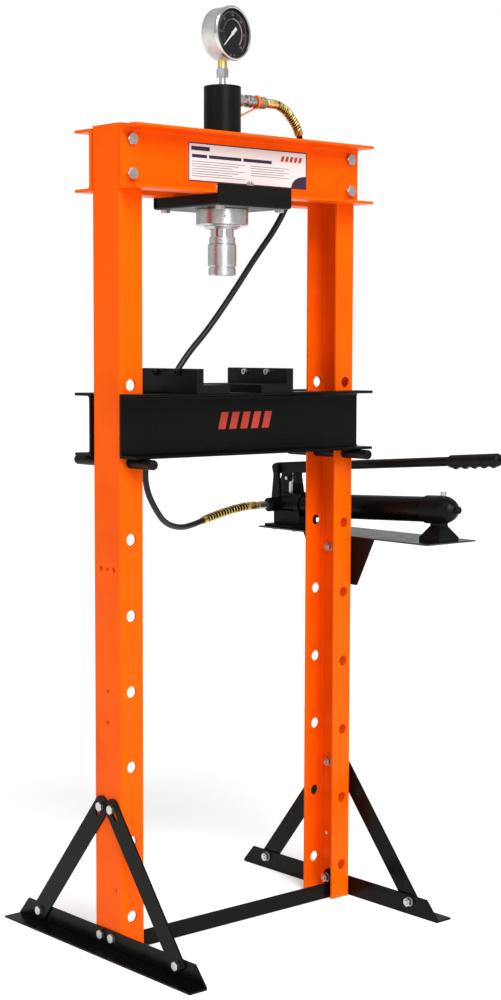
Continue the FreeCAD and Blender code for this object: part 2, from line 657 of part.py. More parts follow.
def gauge_case():
    r = GAUGE_CASE / 2
    rim = GAUGE_CASE_DEPTH - 1.7
    inner = r - GAUGE_CASE_WALL
    profile = [(0, 0), (r - 5, 0), (r - 1.5, 1.5), (r, 5), (r, rim), (inner, rim), (inner, 4), (0, 4)]
    case = turned(profile, on_gauge(GAUGE_FACE_AHEAD - GAUGE_CASE_DEPTH), gauge_facing())
    return case.cut(rod(on_ram(STEM_FOOT_Z), UP, STEM_DIAMETER, STEM_TOP_Z - STEM_FOOT_Z))


def gauge_bezel():
    """The bezel ring: a sleeve round the case and a rounded lip in front of the glass."""
    r = GAUGE_BEZEL / 2
    inner = GAUGE_CASE / 2 + 0.1
    lip = r - 5.2
    profile = [(inner, 0), (r - 0.4, 0), (r, 0.6), (r, 4.5), (r - 1.4, 6.4), (r - 3.4, 7), (lip, 6.6),
               (lip, 5.6), (inner, 5.6)]
    return turned(profile, on_gauge(GAUGE_FACE_AHEAD - 6), gauge_facing())


def gauge_dial():
    return rod(on_gauge(GAUGE_FACE_AHEAD - 5), gauge_facing(), GAUGE_CASE - 2 * GAUGE_CASE_WALL - 0.2, 1.2)


def gauge_glass():
    return rod(on_gauge(GAUGE_FACE_AHEAD - 1.65), gauge_facing(), GAUGE_CASE, 1.2)


def gauge_pointer():
    """The pointer with its broad tail and its spindle, resting at the scale's lower left end."""
    facing = gauge_facing()
    hub = on_gauge(GAUGE_FACE_AHEAD - 3.4)
    outline = [V(-1.9, 2.5, 0), V(-0.6, 37, 0), V(0.6, 37, 0), V(1.9, 2.5, 0), V(3.6, -15, 0),
               V(-3.6, -15, 0)]
    blade = prism(outline, V(0, 0, 0.8))
    blade.rotate(V(0, 0, 0), UP, 135)
    blade.rotate(V(0, 0, 0), RIGHT, 90)
    blade.rotate(V(0, 0, 0), UP, GAUGE_TURN)
    blade = blade.translated(hub)
    return joined([blade, rod(hub, facing, 8, 1.5), rod(hub - facing * 0.3, facing, 5, 1)])


def gauge_stem():
    """The round brass stem under the case."""
    stem = rod(on_ram(STEM_FOOT_Z), UP, STEM_DIAMETER, STEM_TOP_Z - STEM_FOOT_Z)
    return stem.cut(rod(on_ram(STEM_FOOT_Z - 1), UP, 5, 12))


def gauge_coupling():
    """The plated coupling under the stem, with its round foot in the cylinder's end."""
    foot = COUPLING_FOOT_Z - CYLINDER_TOP
    top = STEM_FOOT_Z - CYLINDER_TOP
    profile = [(0, 0), (9, 0), (9, 5), (6.5, 6.5), (6.5, foot + 1), (9.5, foot + 1), (9.5, top), (0, top)]
    body = turned(profile, on_ram(CYLINDER_TOP), UP)
    body = joined([body, hexagon(on_ram(COUPLING_FOOT_Z), UP, 22, top - foot - 3)])
    return body.cut(rod(on_ram(CYLINDER_TOP - 1), UP, 5, top + 2))


# ---- hose and its fittings -----------------------------------------------------------------------
def at_ram_port(x):
    return V(x, MIDDLE_Y, RAM_PORT_Z)


def ram_fitting():
    """The adaptor screwed into the cylinder's side."""
    start = RAM_X + CYLINDER_DIAMETER / 2 + 0.2
    return joined([hexagon(at_ram_port(start), RIGHT, 22, 14), rod(at_ram_port(start + 14), RIGHT, 17, 9)])


def hose_coupler():
    """The quick coupler: a plain body, a waist for the dust cap's ring, and a knurled sleeve."""
    end = RAM_FERRULE_X - COUPLER_START
    profile = [(0, 0), (12, 0), (13, 1), (13, 15), (12, 16), (10, 16), (10, 26), (12, 27), (12.5, 28),
               (12.5, end - 3), (11.5, end - 1.5), (9, end), (0, end)]
    return turned(profile, at_ram_port(COUPLER_START), RIGHT)


def dust_cap():
    """The dust cap's ring, which sits on the coupler when the cap isn't in use."""
    profile = [(10.3, 0), (13, 0), (14, 1), (14, 5), (13, 6), (10.3, 6)]
    return turned(profile, at_ram_port(COUPLER_START + 18), RIGHT)


def hose_ferrules():
    """The crimped sleeves on the hose's two ends."""
    low = V(PUMP_FERRULE_X, PORT_Y, HOSE_PORT_Z)
    end = FERRULE_LENGTH
    profile = [(0, 0), (8.5, 0), (9.5, 1.5), (9.5, end - 2), (8, end), (0, end)]
    return group([turned(profile, at_ram_port(RAM_FERRULE_X), RIGHT), turned(profile, low, LEFT)])


def pump_fitting():
    """The hexagon nipple between the pump's port boss and the ferrule."""
    neck = 6
    hex_length = HOSE_BOSS_END - PUMP_FERRULE_X - neck
    start = V(HOSE_BOSS_END, PORT_Y, HOSE_PORT_Z)
    return joined([hexagon(start, LEFT, 15, hex_length), rod(start + LEFT * hex_length, LEFT, 12, neck)])


def rounded_route(points):
    """Straight runs joined by tangent arcs, and the arcs' radii."""
    corners = [V(*p) for p in points]
    edges, radii, start = [], [], corners[0]
    for before, corner, after in zip(corners, corners[1:], corners[2:]):
        back, ahead = before - corner, after - corner
        half_turn = (math.pi - back.getAngle(ahead)) / 2
        radius = 0.45 * min(back.Length, ahead.Length) / math.tan(half_turn)
        setback = radius * math.tan(half_turn)
        back.normalize()
        ahead.normalize()
        enter, leave = corner + back * setback, corner + ahead * setback
        middle = (back + ahead).normalize()
        inside = corner + middle * (radius / math.cos(half_turn) - radius)
        edges.append(Part.LineSegment(start, enter).toShape())
        edges.append(Part.Arc(enter, inside, leave).toShape())
        radii.append(radius)
        start = leave
    edges.append(Part.LineSegment(start, corners[-1]).toShape())
    return edges, radii


def swept(edges, diameter):
    """A round bar along joined edges."""
    first = edges[0]
    start = first.valueAt(first.FirstParameter)
    heading = first.tangentAt(first.FirstParameter)
    section = Part.Wire([Part.makeCircle(diameter / 2, start, heading)])
    return Part.Wire(edges).makePipeShell([section], True, True)


def hose():
    edges, radii = rounded_route(HOSE_ROUTE)
    tube = swept(edges, HOSE_DIAMETER)
    length = sum(e.Length for e in edges)
    expected = math.pi * HOSE_DIAMETER ** 2 / 4 * length
    print("hose radii", [round(r) for r in radii])
    print("hose length %.0f, volume %.0f, section x length %.0f" % (length, tube.Volume, expected))
    return tube.cut(hose_ferrules())


def hose_guard(points):
    """A spring guard's outer sleeve round the hose's end; it follows the hose's own route."""
    edges, radii = rounded_route(points)
    covered = edges[:-2]
    guard = swept(covered, GUARD_OUTER).cut(swept(covered, GUARD_INNER))
    return guard.cut(hose_ferrules())


# ---- hand pump ---------------------------------------------------------------------------------
def pump_shelf():
    """The bent sheet shelf with its tapered apron on the right post."""
    x0 = FRAME_WIDTH
    top = slab(x0, x0 + SHELF_DEPTH, SHELF_FRONT, SHELF_BACK, SHELF_TOP - SHELF_WALL, SHELF_TOP)
    low = SHELF_TOP - APRON_DROP
    wide, narrow = APRON_TOP_WIDTH / 2, APRON_FOOT_WIDTH / 2
    apron = prism([V(x0, MIDDLE_Y - wide, SHELF_TOP - SHELF_WALL), V(x0, MIDDLE_Y - narrow, low),
                   V(x0, MIDDLE_Y + narrow, low), V(x0, MIDDLE_Y + wide, SHELF_TOP - SHELF_WALL)],
                  V(SHELF_WALL, 0, 0))
    holes = [rod(V(x0 - 1, y, SHELF_BOLT_Z), RIGHT, M10["shank"] + 1, SHELF_WALL + 2)
             for y in row(SHELF_BOLT_SPREAD)]
    holes += [rod(V(x, y, SHELF_TOP - SHELF_WALL - 1), UP, M8["shank"] + 1, SHELF_WALL + 2)
              for x, y in pump_bolt_places()]
    return joined([top, apron]).cut(holes)


def pump_bolt_places():
    """x and y of the hold-down bolts: four under the pump's foot plate, two under the pedestal."""
    foot = [(PUMP_X + side * PUMP_BOLT_REACH, y) for y in PUMP_BOLT_Y for side in (-1, 1)]
    return foot + [(PUMP_X + side * PEDESTAL_BOLT_REACH, PEDESTAL_Y) for side in (-1, 1)]


def pump_bolt_holes():
    """The blind holes in the castings for the bolts that come up through the shelf."""
    return [rod(V(x, y, SHELF_TOP - 1), UP, M8["shank"], PUMP_BOLT_DEPTH + 1) for x, y in pump_bolt_places()]


def shelf_bolts():
    """The shelf's bolts into the post, and the pump's hold-down bolts with their heads underneath."""
    pieces = []
    for y in row(SHELF_BOLT_SPREAD):
        seat = V(FRAME_WIDTH + SHELF_WALL, y, SHELF_BOLT_Z)
        pieces += bolt_and_nut(seat, LEFT, M10, SHELF_WALL + POST_WALL)
    for x, y in pump_bolt_places():
        seat = V(x, y, SHELF_TOP - SHELF_WALL)
        shank = rod(seat, UP, M8["shank"], SHELF_WALL + PUMP_BOLT_DEPTH - 0.3)
        pieces.append(joined([hexagon(seat, DOWN, M8["flats"], M8["head"]), shank]))
    return group(pieces)


def tilted(shape):
    """A piece of the pump's barrel, raised towards the front about the port."""
    shape.rotate(V(PUMP_X, PORT_Y, PORT_Z), RIGHT, -PUMP_TILT)
    return shape


def pump_body():
    """The cast body: foot plate, base, barrel, hose boss, plunger's well and the lever's two lugs."""
    floor = SHELF_TOP + PUMP_PLATE
    plate = slab(PUMP_X - 61, PUMP_X + 57, 202, SHELF_BACK, SHELF_TOP, floor)
    plate = rounded(plate, 8, lambda c, e: runs_along(e, UP))
    base = slab(PUMP_X - 27, PUMP_X + 27, 225, 310, floor, PORT_Z - 10)
    barrel = tilted(rod(V(PUMP_X, TANK_BACK, PORT_Z), BACK, 48, 320 - TANK_BACK))
    collar = tilted(rod(V(PUMP_X, TANK_BACK - 2, PORT_Z), BACK, TANK_DIAMETER + 6, 16))
    boss_length = PUMP_X - HOSE_BOSS_END
    r = HOSE_BOSS_DIAMETER / 2
    boss = turned([(0, 0), (r, 0), (r, boss_length - 3), (r - 3, boss_length), (0, boss_length)],
                  V(PUMP_X, PORT_Y, HOSE_PORT_Z), LEFT)
    well = slab(PUMP_X - 17, PUMP_X + 17, 244, LEVER_PIN_Y + 19, PORT_Z, 866)
    body = joined([plate, base, barrel, collar, boss, well, near_lug(), far_lug()])
    blind_end = LUG_OFFSET + LUG_THICKNESS - PIVOT_BLIND_WALL
    pivot = V(PUMP_X - blind_end, LEVER_PIVOT_Y, pivot_z())
    cuts = [rod(V(PUMP_X, LEVER_PIN_Y, PLUNGER_FOOT_Z - 2), UP, PLUNGER_DIAMETER + 2 * RUNNING_GAP, 90),
            rod(pivot, RIGHT, PIVOT_PIN + 2 * RUNNING_GAP, 60),
            rod(V(PUMP_X + 10, VALVE_Y, PORT_Z), RIGHT, VALVE_DIAMETER + 2 * RUNNING_GAP, 20),
            tilted(rod(V(PUMP_X, TANK_BACK - 40, PORT_Z), BACK, TANK_DIAMETER, 48))]
    return body.cut(cuts + pump_bolt_holes())


def lug_plate(outline, offset):
    """A lug of the given (y, z) outline with a round eye at the lever's pivot."""
    plate = prism([V(PUMP_X, y, z) for y, z in outline], V(LUG_THICKNESS, 0, 0))
    eye = rod(V(PUMP_X, LEVER_PIVOT_Y, pivot_z()), RIGHT, LUG_EYE, LUG_THICKNESS)
    return joined([plate, eye]).translated(V(offset, 0, 0))


def near_lug():
    """The narrow lug on the side of the hose."""
    half = LUG_EYE / 2
    outline = [(298, PORT_Z), (328, PORT_Z), (327, 854), (LEVER_PIVOT_Y + half - 5, 905),
               (LEVER_PIVOT_Y + half, pivot_z()), (LEVER_PIVOT_Y - half, pivot_z()), (300, 872)]
    return lug_plate(outline, -LUG_OFFSET - LUG_THICKNESS)


def far_lug():
    """The broad lug on the outer side, a plate that reaches forward beside the plunger."""
    half = LUG_EYE / 2
    outline = [(250, PORT_Z), (346, PORT_Z), (345, 858), (LEVER_PIVOT_Y + half, 910),
               (LEVER_PIVOT_Y + half, pivot_z()), (LEVER_PIVOT_Y - half, pivot_z()), (298, 908), (266, 908)]
    return lug_plate(outline, LUG_OFFSET)


def release_knob():
    """The release valve's spindle and its fluted knob on the pump's outer side."""
    x0 = PUMP_X + 27.5
    thickness = 18
    r = KNOB_DIAMETER / 2
    profile = [(0, 0), (r - 2, 0), (r, 2), (r, thickness - 2), (r - 2, thickness), (0, thickness)]
    knob = turned(profile, V(x0, VALVE_Y, PORT_Z), RIGHT)
    flutes = []
    for i in range(KNOB_FLUTES):
        angle = 2 * math.pi * i / KNOB_FLUTES
        centre = V(x0 - 1, VALVE_Y + (r + 1.5) * math.cos(angle), PORT_Z + (r + 1.5) * math.sin(angle))
        flutes.append(rod(centre, RIGHT, 6, thickness + 2))
    spindle = rod(V(PUMP_X + 12, VALVE_Y, PORT_Z), RIGHT, VALVE_DIAMETER, 17)
    return joined([knob.cut(flutes), spindle])


def reservoir_tube():
    length = TANK_BACK + 7 - TANK_FRONT
    start = V(PUMP_X, TANK_FRONT, PORT_Z)
    return tilted(sleeve(start, BACK, TANK_DIAMETER, TANK_DIAMETER - 2 * TANK_WALL, length))


def reservoir_cap():
    """The tank's end cap: collar, dome and nub, on a splayed pedestal."""
    r = CAP_DIAMETER / 2
    bore = TANK_DIAMETER / 2 - TANK_WALL
    profile = [(0, -6), (bore, -6), (bore, 0), (r - 1.5, 0), (r, 2), (r, 44),
               (28.3, 56), (24.5, 66), (18.5, 75), (9, 82), (8, 85), (8, 91), (6, 93), (0, 93)]
    dome = tilted(turned(profile, V(PUMP_X, TANK_FRONT, PORT_Z), FRONT))
    half_x, half_y = 30.0, 29.0
    neck_x, neck_y = 11.0, 15.0
    floor, throat = SHELF_TOP + 8, SHELF_TOP + 32
    plate = slab(PUMP_X - half_x, PUMP_X + half_x, PEDESTAL_Y - half_y, PEDESTAL_Y + half_y,
                 SHELF_TOP, floor)
    splay = Part.makeLoft([ring_of(half_x, half_y, floor), ring_of(neck_x, neck_y, throat)], True)
    neck = slab(PUMP_X - neck_x, PUMP_X + neck_x, PEDESTAL_Y - neck_y, PEDESTAL_Y + neck_y, throat, PORT_Z)
    cap = joined([dome, plate, splay, neck])
    screw_hole = tilted(rod(V(PUMP_X, FILLER_Y, PORT_Z + 12), UP, FILLER_SHANK + 0.3, 30))
    return cap.cut([screw_hole] + pump_bolt_holes())


def ring_of(half_x, half_y, z):
    """A level rectangular outline over the pedestal's centre."""
    corners = [(-1, -1), (1, -1), (1, 1), (-1, 1), (-1, -1)]
    return Part.makePolygon([V(PUMP_X + a * half_x, PEDESTAL_Y + b * half_y, z) for a, b in corners])


def filler_screw():
    """The vented filler screw on top of the cap."""
    seat = V(PUMP_X, FILLER_Y, PORT_Z + CAP_DIAMETER / 2 + 0.2)
    return tilted(socket_screw(seat, DOWN, FILLER_SHANK, 13.0, 16))


def pivot_z():
    """The height of the lever's axis at its pivot."""
    return LEVER_Z - math.tan(math.radians(LEVER_TILT)) * LEVER_PIVOT_Y


def lever_point(y):
    return V(PUMP_X, y, LEVER_Z - math.tan(math.radians(LEVER_TILT)) * y)


def lever_direction():
    return (lever_point(-1) - lever_point(0)).normalize()


def lever_head():
    """The bar that holds the lever's tube, with a cheek for the plunger's pin and a stop in front."""
    half_x, half_z = LEVER_HEAD_HALF_WIDTH, LEVER_HEAD_HEIGHT / 2
    low, high = -half_z - LEVER_HEAD_DROP, half_z - LEVER_HEAD_DROP
    round_y = LEVER_HEAD_BACK - half_z
    left = V(PUMP_X - half_x - 1, round_y, -LEVER_HEAD_DROP)
    bar = slab(PUMP_X - half_x, PUMP_X + half_x, LEVER_HEAD_FRONT, LEVER_HEAD_BACK, low, high)
    bar = rounded(bar, 4, lambda c, e: runs_along(e, BACK))
    end = slab(left.x, PUMP_X + half_x + 1, round_y, LEVER_HEAD_BACK + 1, low - 1, high + 1)
    bar = bar.cut(end.cut(rod(left, RIGHT, LEVER_HEAD_HEIGHT, 2 * half_x + 2)))
    bar.rotate(V(PUMP_X, 0, 0), RIGHT, -LEVER_TILT)
    bar = bar.translated(V(0, 0, LEVER_Z))
    underside = lever_point(LEVER_PIN_Y).z - half_z / 2
    cheek_x = PUMP_X - PLUNGER_EYE - CHEEK_THICKNESS - 0.3
    cheek = prism([V(cheek_x, LEVER_PIN_Y - 9, LEVER_PIN_Z), V(cheek_x, LEVER_PIN_Y + 9, LEVER_PIN_Z),
                   V(cheek_x, LEVER_PIN_Y + 14, underside), V(cheek_x, LEVER_PIN_Y - 10, underside)],
                  V(CHEEK_THICKNESS, 0, 0))
    cheek_foot = rod(V(cheek_x, LEVER_PIN_Y, LEVER_PIN_Z), RIGHT, 18, CHEEK_THICKNESS)
    stop = slab(PUMP_X - 9, PUMP_X + 9, 253, 264, 889, underside)
    head = joined([bar, stop, cheek, cheek_foot])
    eye_slot = slab(PUMP_X - PLUNGER_EYE - 0.3, PUMP_X + PLUNGER_EYE + 0.3,
                    LEVER_PIN_Y - 17, LEVER_PIN_Y + 14, LEVER_PIN_Z - 20, underside + 2)
    bores = [rod(lever_point(LEVER_TUBE_BACK), lever_direction(), LEVER_TUBE, 80),
             rod(V(PUMP_X - 20, LEVER_PIN_Y, LEVER_PIN_Z), RIGHT, PLUNGER_PIN, 40),
             rod(V(PUMP_X - 20, LEVER_PIVOT_Y, pivot_z()), RIGHT, PIVOT_PIN, 40), eye_slot]
    return head.cut(bores)


def lever_pins():
    """The pivot pin, put in from the outer side and headed there, and the plunger's pin."""
    outside = LUG_OFFSET + LUG_THICKNESS
    blind_end = outside - PIVOT_BLIND_WALL - 0.3
    head = V(PUMP_X + outside + 0.5, LEVER_PIVOT_Y, pivot_z())
    shank = rod(head, LEFT, PIVOT_PIN, outside + 0.5 + blind_end)
    pivot = joined([shank, rod(head, RIGHT, PIVOT_PIN + 4, 3)])
    plunger_pin = rod(V(PUMP_X - 16, LEVER_PIN_Y, LEVER_PIN_Z), RIGHT, PLUNGER_PIN, 28)
    return group([pivot, plunger_pin])


def lever_tube():
    start = lever_point(LEVER_TUBE_BACK - 1)
    length = (lever_point(LEVER_TUBE_FRONT) - start).Length
    return sleeve(start, lever_direction(), LEVER_TUBE, LEVER_TUBE - 5, length)


def lever_grip():
    """The moulded grip, with finger bumps along its underside."""
    start = lever_point(LEVER_FRONT)
    along = lever_direction()
    length = (lever_point(GRIP_END) - start).Length
    r = GRIP_DIAMETER / 2
    profile = [(0, 0), (r - 3, 0), (r - 1, 3), (r - 1, length - 4), (r - 2.5, length), (0, length)]
    underside = RIGHT.cross(along)
    bumps = [Part.makeSphere(9, start + along * (16 + 26 * i) + underside * 5.6) for i in range(GRIP_BUMPS)]
    grip = joined([turned(profile, start, along)] + bumps)
    bore_length = (lever_point(LEVER_TUBE_FRONT) - start).Length + 1
    return grip.cut(rod(start - along, along, LEVER_TUBE, bore_length))


def plunger():
    """The pump's plunger with the slotted eye that the lever's pin slides in."""
    foot = V(PUMP_X, LEVER_PIN_Y, PLUNGER_FOOT_Z)
    shaft = rod(foot, UP, PLUNGER_DIAMETER, LEVER_PIN_Z - PLUNGER_FOOT_Z - 6)
    left, right = PUMP_X - PLUNGER_EYE, PUMP_X + PLUNGER_EYE
    eye = slab(left, right, LEVER_PIN_Y - 14.5, LEVER_PIN_Y + 8, LEVER_PIN_Z - 8, LEVER_PIN_Z + 8)
    slot_height = PLUNGER_PIN + 1.8
    slot_reach = 7.2
    pin = V(left - 1, LEVER_PIN_Y, LEVER_PIN_Z)
    slot = [rod(pin, RIGHT, slot_height, 20), rod(pin + FRONT * slot_reach, RIGHT, slot_height, 20),
            slab(left - 1, right + 1, LEVER_PIN_Y - slot_reach, LEVER_PIN_Y,
                 LEVER_PIN_Z - slot_height / 2, LEVER_PIN_Z + slot_height / 2)]
    return joined([shaft, eye]).cut(slot)


# ---- the whole press ---------------------------------------------------------------------------
HOSE_NODES = ["hose", "hose_ferrules", "upper_guard", "lower_guard"]


def build():
    """Every piece in the working frame, by node name."""
    left_post, front_head, front_bed = post(), head_channel(), bed_channel()
    left_foot, front_strut, pin = foot(), strut(), bed_pin()
    return {
        "left_post": left_post, "right_post": half_turned(left_post),
        "head_channel_front": front_head, "head_channel_rear": mirrored_back(front_head),
        "head_bolts": head_bolts(), "label_plate": label_plate(),
        "left_foot": left_foot, "right_foot": mirrored(left_foot),
        "left_strut_front": front_strut, "left_strut_rear": mirrored_back(front_strut),
        "right_strut_front": mirrored(front_strut), "right_strut_rear": half_turned(front_strut),
        "frame_bolts": frame_bolts(), "cross_bar": cross_bar(),
        "bed_channel_front": front_bed, "bed_channel_rear": mirrored_back(front_bed),
        "bed_spacers": bed_spacers(), "left_bed_pin": pin, "right_bed_pin": mirrored(pin),
        "left_press_block": press_block(LEFT_BLOCK_X, 1),
        "left_block_screws": block_screws(LEFT_BLOCK_X, 1),
        "right_press_block": press_block(RIGHT_BLOCK_X, -1),
        "right_block_screws": block_screws(RIGHT_BLOCK_X, -1),
        "carriage_tray": carriage_tray(), "carriage_spacers": carriage_spacers(),
        "carriage_bolts": carriage_bolts(), "cylinder_tube": cylinder_tube(), "ring_nut": ring_nut(),
        "cylinder_gland": cylinder_gland(),
        "piston": piston(), "piston_rod": piston_rod(),
        "press_head": press_head(), "return_spring": return_spring(),
        "gauge_case": gauge_case(), "gauge_bezel": gauge_bezel(), "gauge_dial": gauge_dial(),
        "gauge_glass": gauge_glass(), "gauge_pointer": gauge_pointer(), "gauge_stem": gauge_stem(),
        "gauge_coupling": gauge_coupling(),
        "ram_fitting": ram_fitting(), "hose_coupler": hose_coupler(), "dust_cap": dust_cap(),
        "hose_ferrules": hose_ferrules(), "hose": hose(), "upper_guard": hose_guard(HOSE_ROUTE[:6]),
        "lower_guard": hose_guard(HOSE_ROUTE[:-7:-1]), "pump_fitting": pump_fitting(),
        "pump_shelf": pump_shelf(), "shelf_bolts": shelf_bolts(), "pump_body": pump_body(),
        "release_knob": release_knob(), "reservoir_tube": reservoir_tube(), "reservoir_cap": reservoir_cap(),
        "filler_screw": filler_screw(),
        "lever_head": lever_head(), "lever_pins": lever_pins(), "lever_tube": lever_tube(),
        "lever_grip": lever_grip(), "plunger": plunger()}


def origin_shift(pieces):
    """The move that puts the origin under the middle of the press without its hose."""
    box = Part.makeCompound([s for n, s in pieces.items() if n not in HOSE_NODES]).BoundBox
    return V(-box.Center.x, -box.Center.y, -box.ZMin)


def main():
    os.makedirs("parts", exist_ok=True)
    pieces = build()
    shift = origin_shift(pieces)
    for name, shape in pieces.items():
        shape.translated(shift).exportStep("parts/%s.step" % name)
    print(len(pieces), "nodes, origin moved by", [round(c, 3) for c in shift])
    return pieces, shift


main()
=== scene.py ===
import bmesh
import bpy
import math
from mathutils import Matrix, Vector


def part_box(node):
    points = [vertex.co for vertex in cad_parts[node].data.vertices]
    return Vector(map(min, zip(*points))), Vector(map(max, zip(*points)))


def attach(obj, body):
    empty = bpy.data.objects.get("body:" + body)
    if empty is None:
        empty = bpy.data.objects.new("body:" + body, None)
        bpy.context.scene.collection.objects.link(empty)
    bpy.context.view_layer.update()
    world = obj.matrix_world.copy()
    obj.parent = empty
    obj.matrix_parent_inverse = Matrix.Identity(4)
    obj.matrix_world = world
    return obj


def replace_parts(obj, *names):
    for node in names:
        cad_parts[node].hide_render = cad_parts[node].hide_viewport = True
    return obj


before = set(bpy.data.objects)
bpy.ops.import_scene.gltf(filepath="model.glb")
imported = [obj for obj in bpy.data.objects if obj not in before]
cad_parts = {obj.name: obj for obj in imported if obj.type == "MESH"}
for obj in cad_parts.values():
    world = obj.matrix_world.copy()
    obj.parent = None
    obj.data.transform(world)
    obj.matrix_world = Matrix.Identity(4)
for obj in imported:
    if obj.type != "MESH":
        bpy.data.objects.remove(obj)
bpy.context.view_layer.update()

# The hydraulic shop press: its hose and the finely detailed pieces are built here, and every CAD
# node gets its material.  place() takes millimetres from the left post's lower front left corner,
# with heights from the floor, as the press itself is drawn.
post_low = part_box("left_post")[0]
UP = Vector((0, 0, 1))


def place(x, y, z):
    return Vector((post_low[0] + x / 1000, post_low[1] + y / 1000, z / 1000))


# ---- camera ------------------------------------------------------------------------------------
YAW, PITCH, ROLL = math.radians(40.963), math.radians(-5.311), math.radians(-0.187)
ahead = Vector((math.sin(YAW) * math.cos(PITCH), math.cos(YAW) * math.cos(PITCH), math.sin(PITCH)))
level = Vector((math.cos(YAW), -math.sin(YAW), 0))
below = ahead.cross(level)
across = level * math.cos(ROLL) + below * math.sin(ROLL)
downward = below * math.cos(ROLL) - level * math.sin(ROLL)
camera = bpy.data.objects.new("camera", bpy.data.cameras.new("camera"))
bpy.context.scene.collection.objects.link(camera)
camera.matrix_world = Matrix.Translation(place(-2127.5, -2841.6, 1195.7)) @ Matrix(
    (across, -downward, -ahead)).transposed().to_4x4()
camera.data.lens = 66.25
camera.data.sensor_width = 36.0
camera.data.shift_x = -0.0031
camera.data.shift_y = 0.0190
bpy.context.scene.camera = camera


# ---- shader nodes ------------------------------------------------------------------------------
class Shader:
    """A principled material with small helpers for its procedural inputs."""

    def __init__(self, name, **sockets):
        self.material = bpy.data.materials.new(name)
        self.material.use_nodes = True
        self.tree = self.material.node_tree
        self.tree.nodes.clear()
        self.main = self.tree.nodes.new("ShaderNodeBsdfPrincipled")
        out = self.tree.nodes.new("ShaderNodeOutputMaterial")
        self.tree.links.new(self.main.outputs[0], out.inputs["Surface"])
        for key, value in sockets.items():
            self.main.inputs[key.replace("_", " ")].default_value = value
        self.where = None

    def node(self, kind, **values):
        made = self.tree.nodes.new(kind)
        for key, value in values.items():
            setattr(made, key, value)
        return made

    def join(self, source, target):
        self.tree.links.new(source, target)

    def coordinates(self, stretch=(1, 1, 1), turn=0.0):
        if self.where is None:
            self.where = self.node("ShaderNodeTexCoord")
        mapping = self.node("ShaderNodeMapping")
        mapping.inputs["Scale"].default_value = stretch
        mapping.inputs["Rotation"].default_value = (0, 0, turn)
        self.join(self.where.outputs["Object"], mapping.inputs["Vector"])
        return mapping.outputs[0]

    def noise(self, scale, detail=3.0, stretch=(1, 1, 1), turn=0.0, roughness=0.55):
        made = self.node("ShaderNodeTexNoise")
        made.inputs["Scale"].default_value = scale
        made.inputs["Detail"].default_value = detail
        made.inputs["Roughness"].default_value = roughness
        self.join(self.coordinates(stretch, turn), made.inputs["Vector"])
        return made.outputs["Fac"]

    def ramp(self, source, stops):
        made = self.node("ShaderNodeValToRGB")
        bar = made.color_ramp
        while len(bar.elements) < len(stops):
            bar.elements.new(0.5)
        for element, (position, color) in zip(bar.elements, stops):
            element.position = position
            element.color = (*color, 1) if len(color) == 3 else color
        self.join(source, made.inputs["Fac"])
        return made.outputs["Color"]

    def spread(self, source, low, high):
        """A 0..1 noise spread between two values."""
        made = self.node("ShaderNodeMapRange")
        for key, value in zip(("From Min", "From Max", "To Min", "To Max"), (0.3, 0.7, low, high)):
            made.inputs[key].default_value = value
        self.join(source, made.inputs["Value"])
        return made.outputs["Result"]

    def mix(self, fac, a, b):
        made = self.node("ShaderNodeMix", data_type="RGBA")
        self.join(fac, made.inputs[0])
        for source, socket in ((a, made.inputs[6]), (b, made.inputs[7])):
            if isinstance(source, tuple):
                socket.default_value = (*source, 1)
            else:
                self.join(source, socket)
        return made.outputs[2]

    def soft_edges(self, radius):
        made = self.node("ShaderNodeBevel", samples=4)
        made.inputs["Radius"].default_value = radius
        return made.outputs["Normal"]

    def edge_mask(self, normal, sharpness):
        """Where the rounded normal leaves the true one: the piece's edges."""
        true = self.node("ShaderNodeNewGeometry")
        dot = self.node("ShaderNodeVectorMath", operation="DOT_PRODUCT")
        self.join(normal, dot.inputs[0])
        self.join(true.outputs["Normal"], dot.inputs[1])
        made = self.node("ShaderNodeMapRange")
        for key, value in zip(("From Min", "From Max", "To Min", "To Max"), (1.0, 1 - sharpness, 0.0, 1.0)):
            made.inputs[key].default_value = value
        self.join(dot.outputs["Value"], made.inputs["Value"])
        return made.outputs["Result"]

    def bump(self, height, distance, strength=1.0, normal=None):
        made = self.node("ShaderNodeBump")
        made.inputs["Strength"].default_value = strength
        made.inputs["Distance"].default_value = distance
        self.join(height, made.inputs["Height"])
        if normal is not None:
            self.join(normal, made.inputs["Normal"])
        return made.outputs["Normal"]

    def set(self, name, source):
        self.join(source, self.main.inputs[name])
        return self


def shade(color, factor):
    return tuple(min(1.0, c * factor) for c in color)


def paint(name, color, edge_highlight_and_wear, roughness, peel=0.00006, specular=0.2, edge=0.0009):
    """Sprayed paint: a little uneven in colour and gloss, orange peel, and lighter along the edges: a painted edge
    highlight with a little wear.
    """
    s = Shader(name, Specular_IOR_Level=specular)
    cloud = s.noise(7, 4)
    tint = s.ramp(cloud, [(0.3, shade(color, 0.9)), (0.5, color), (0.72, shade(color, 1.06))])
    normal = s.soft_edges(edge)
    # The edges are mixed towards a lighter colour: a painted highlight along the edges, with a little wear.
    edge_highlight_mask = s.node("ShaderNodeMath", operation="MULTIPLY")
    s.join(s.edge_mask(normal, 0.35), edge_highlight_mask.inputs[0])
    s.join(s.spread(s.noise(90, 5), 0.0, 0.7), edge_highlight_mask.inputs[1])
    s.set("Base Color", s.mix(edge_highlight_mask.outputs[0], tint, edge_highlight_and_wear))
    s.set("Roughness", s.spread(s.noise(38, 5), roughness * 0.8, roughness * 1.25))
    s.set("Normal", s.bump(s.noise(520, 2), peel, 1.0, normal))
    return s.material


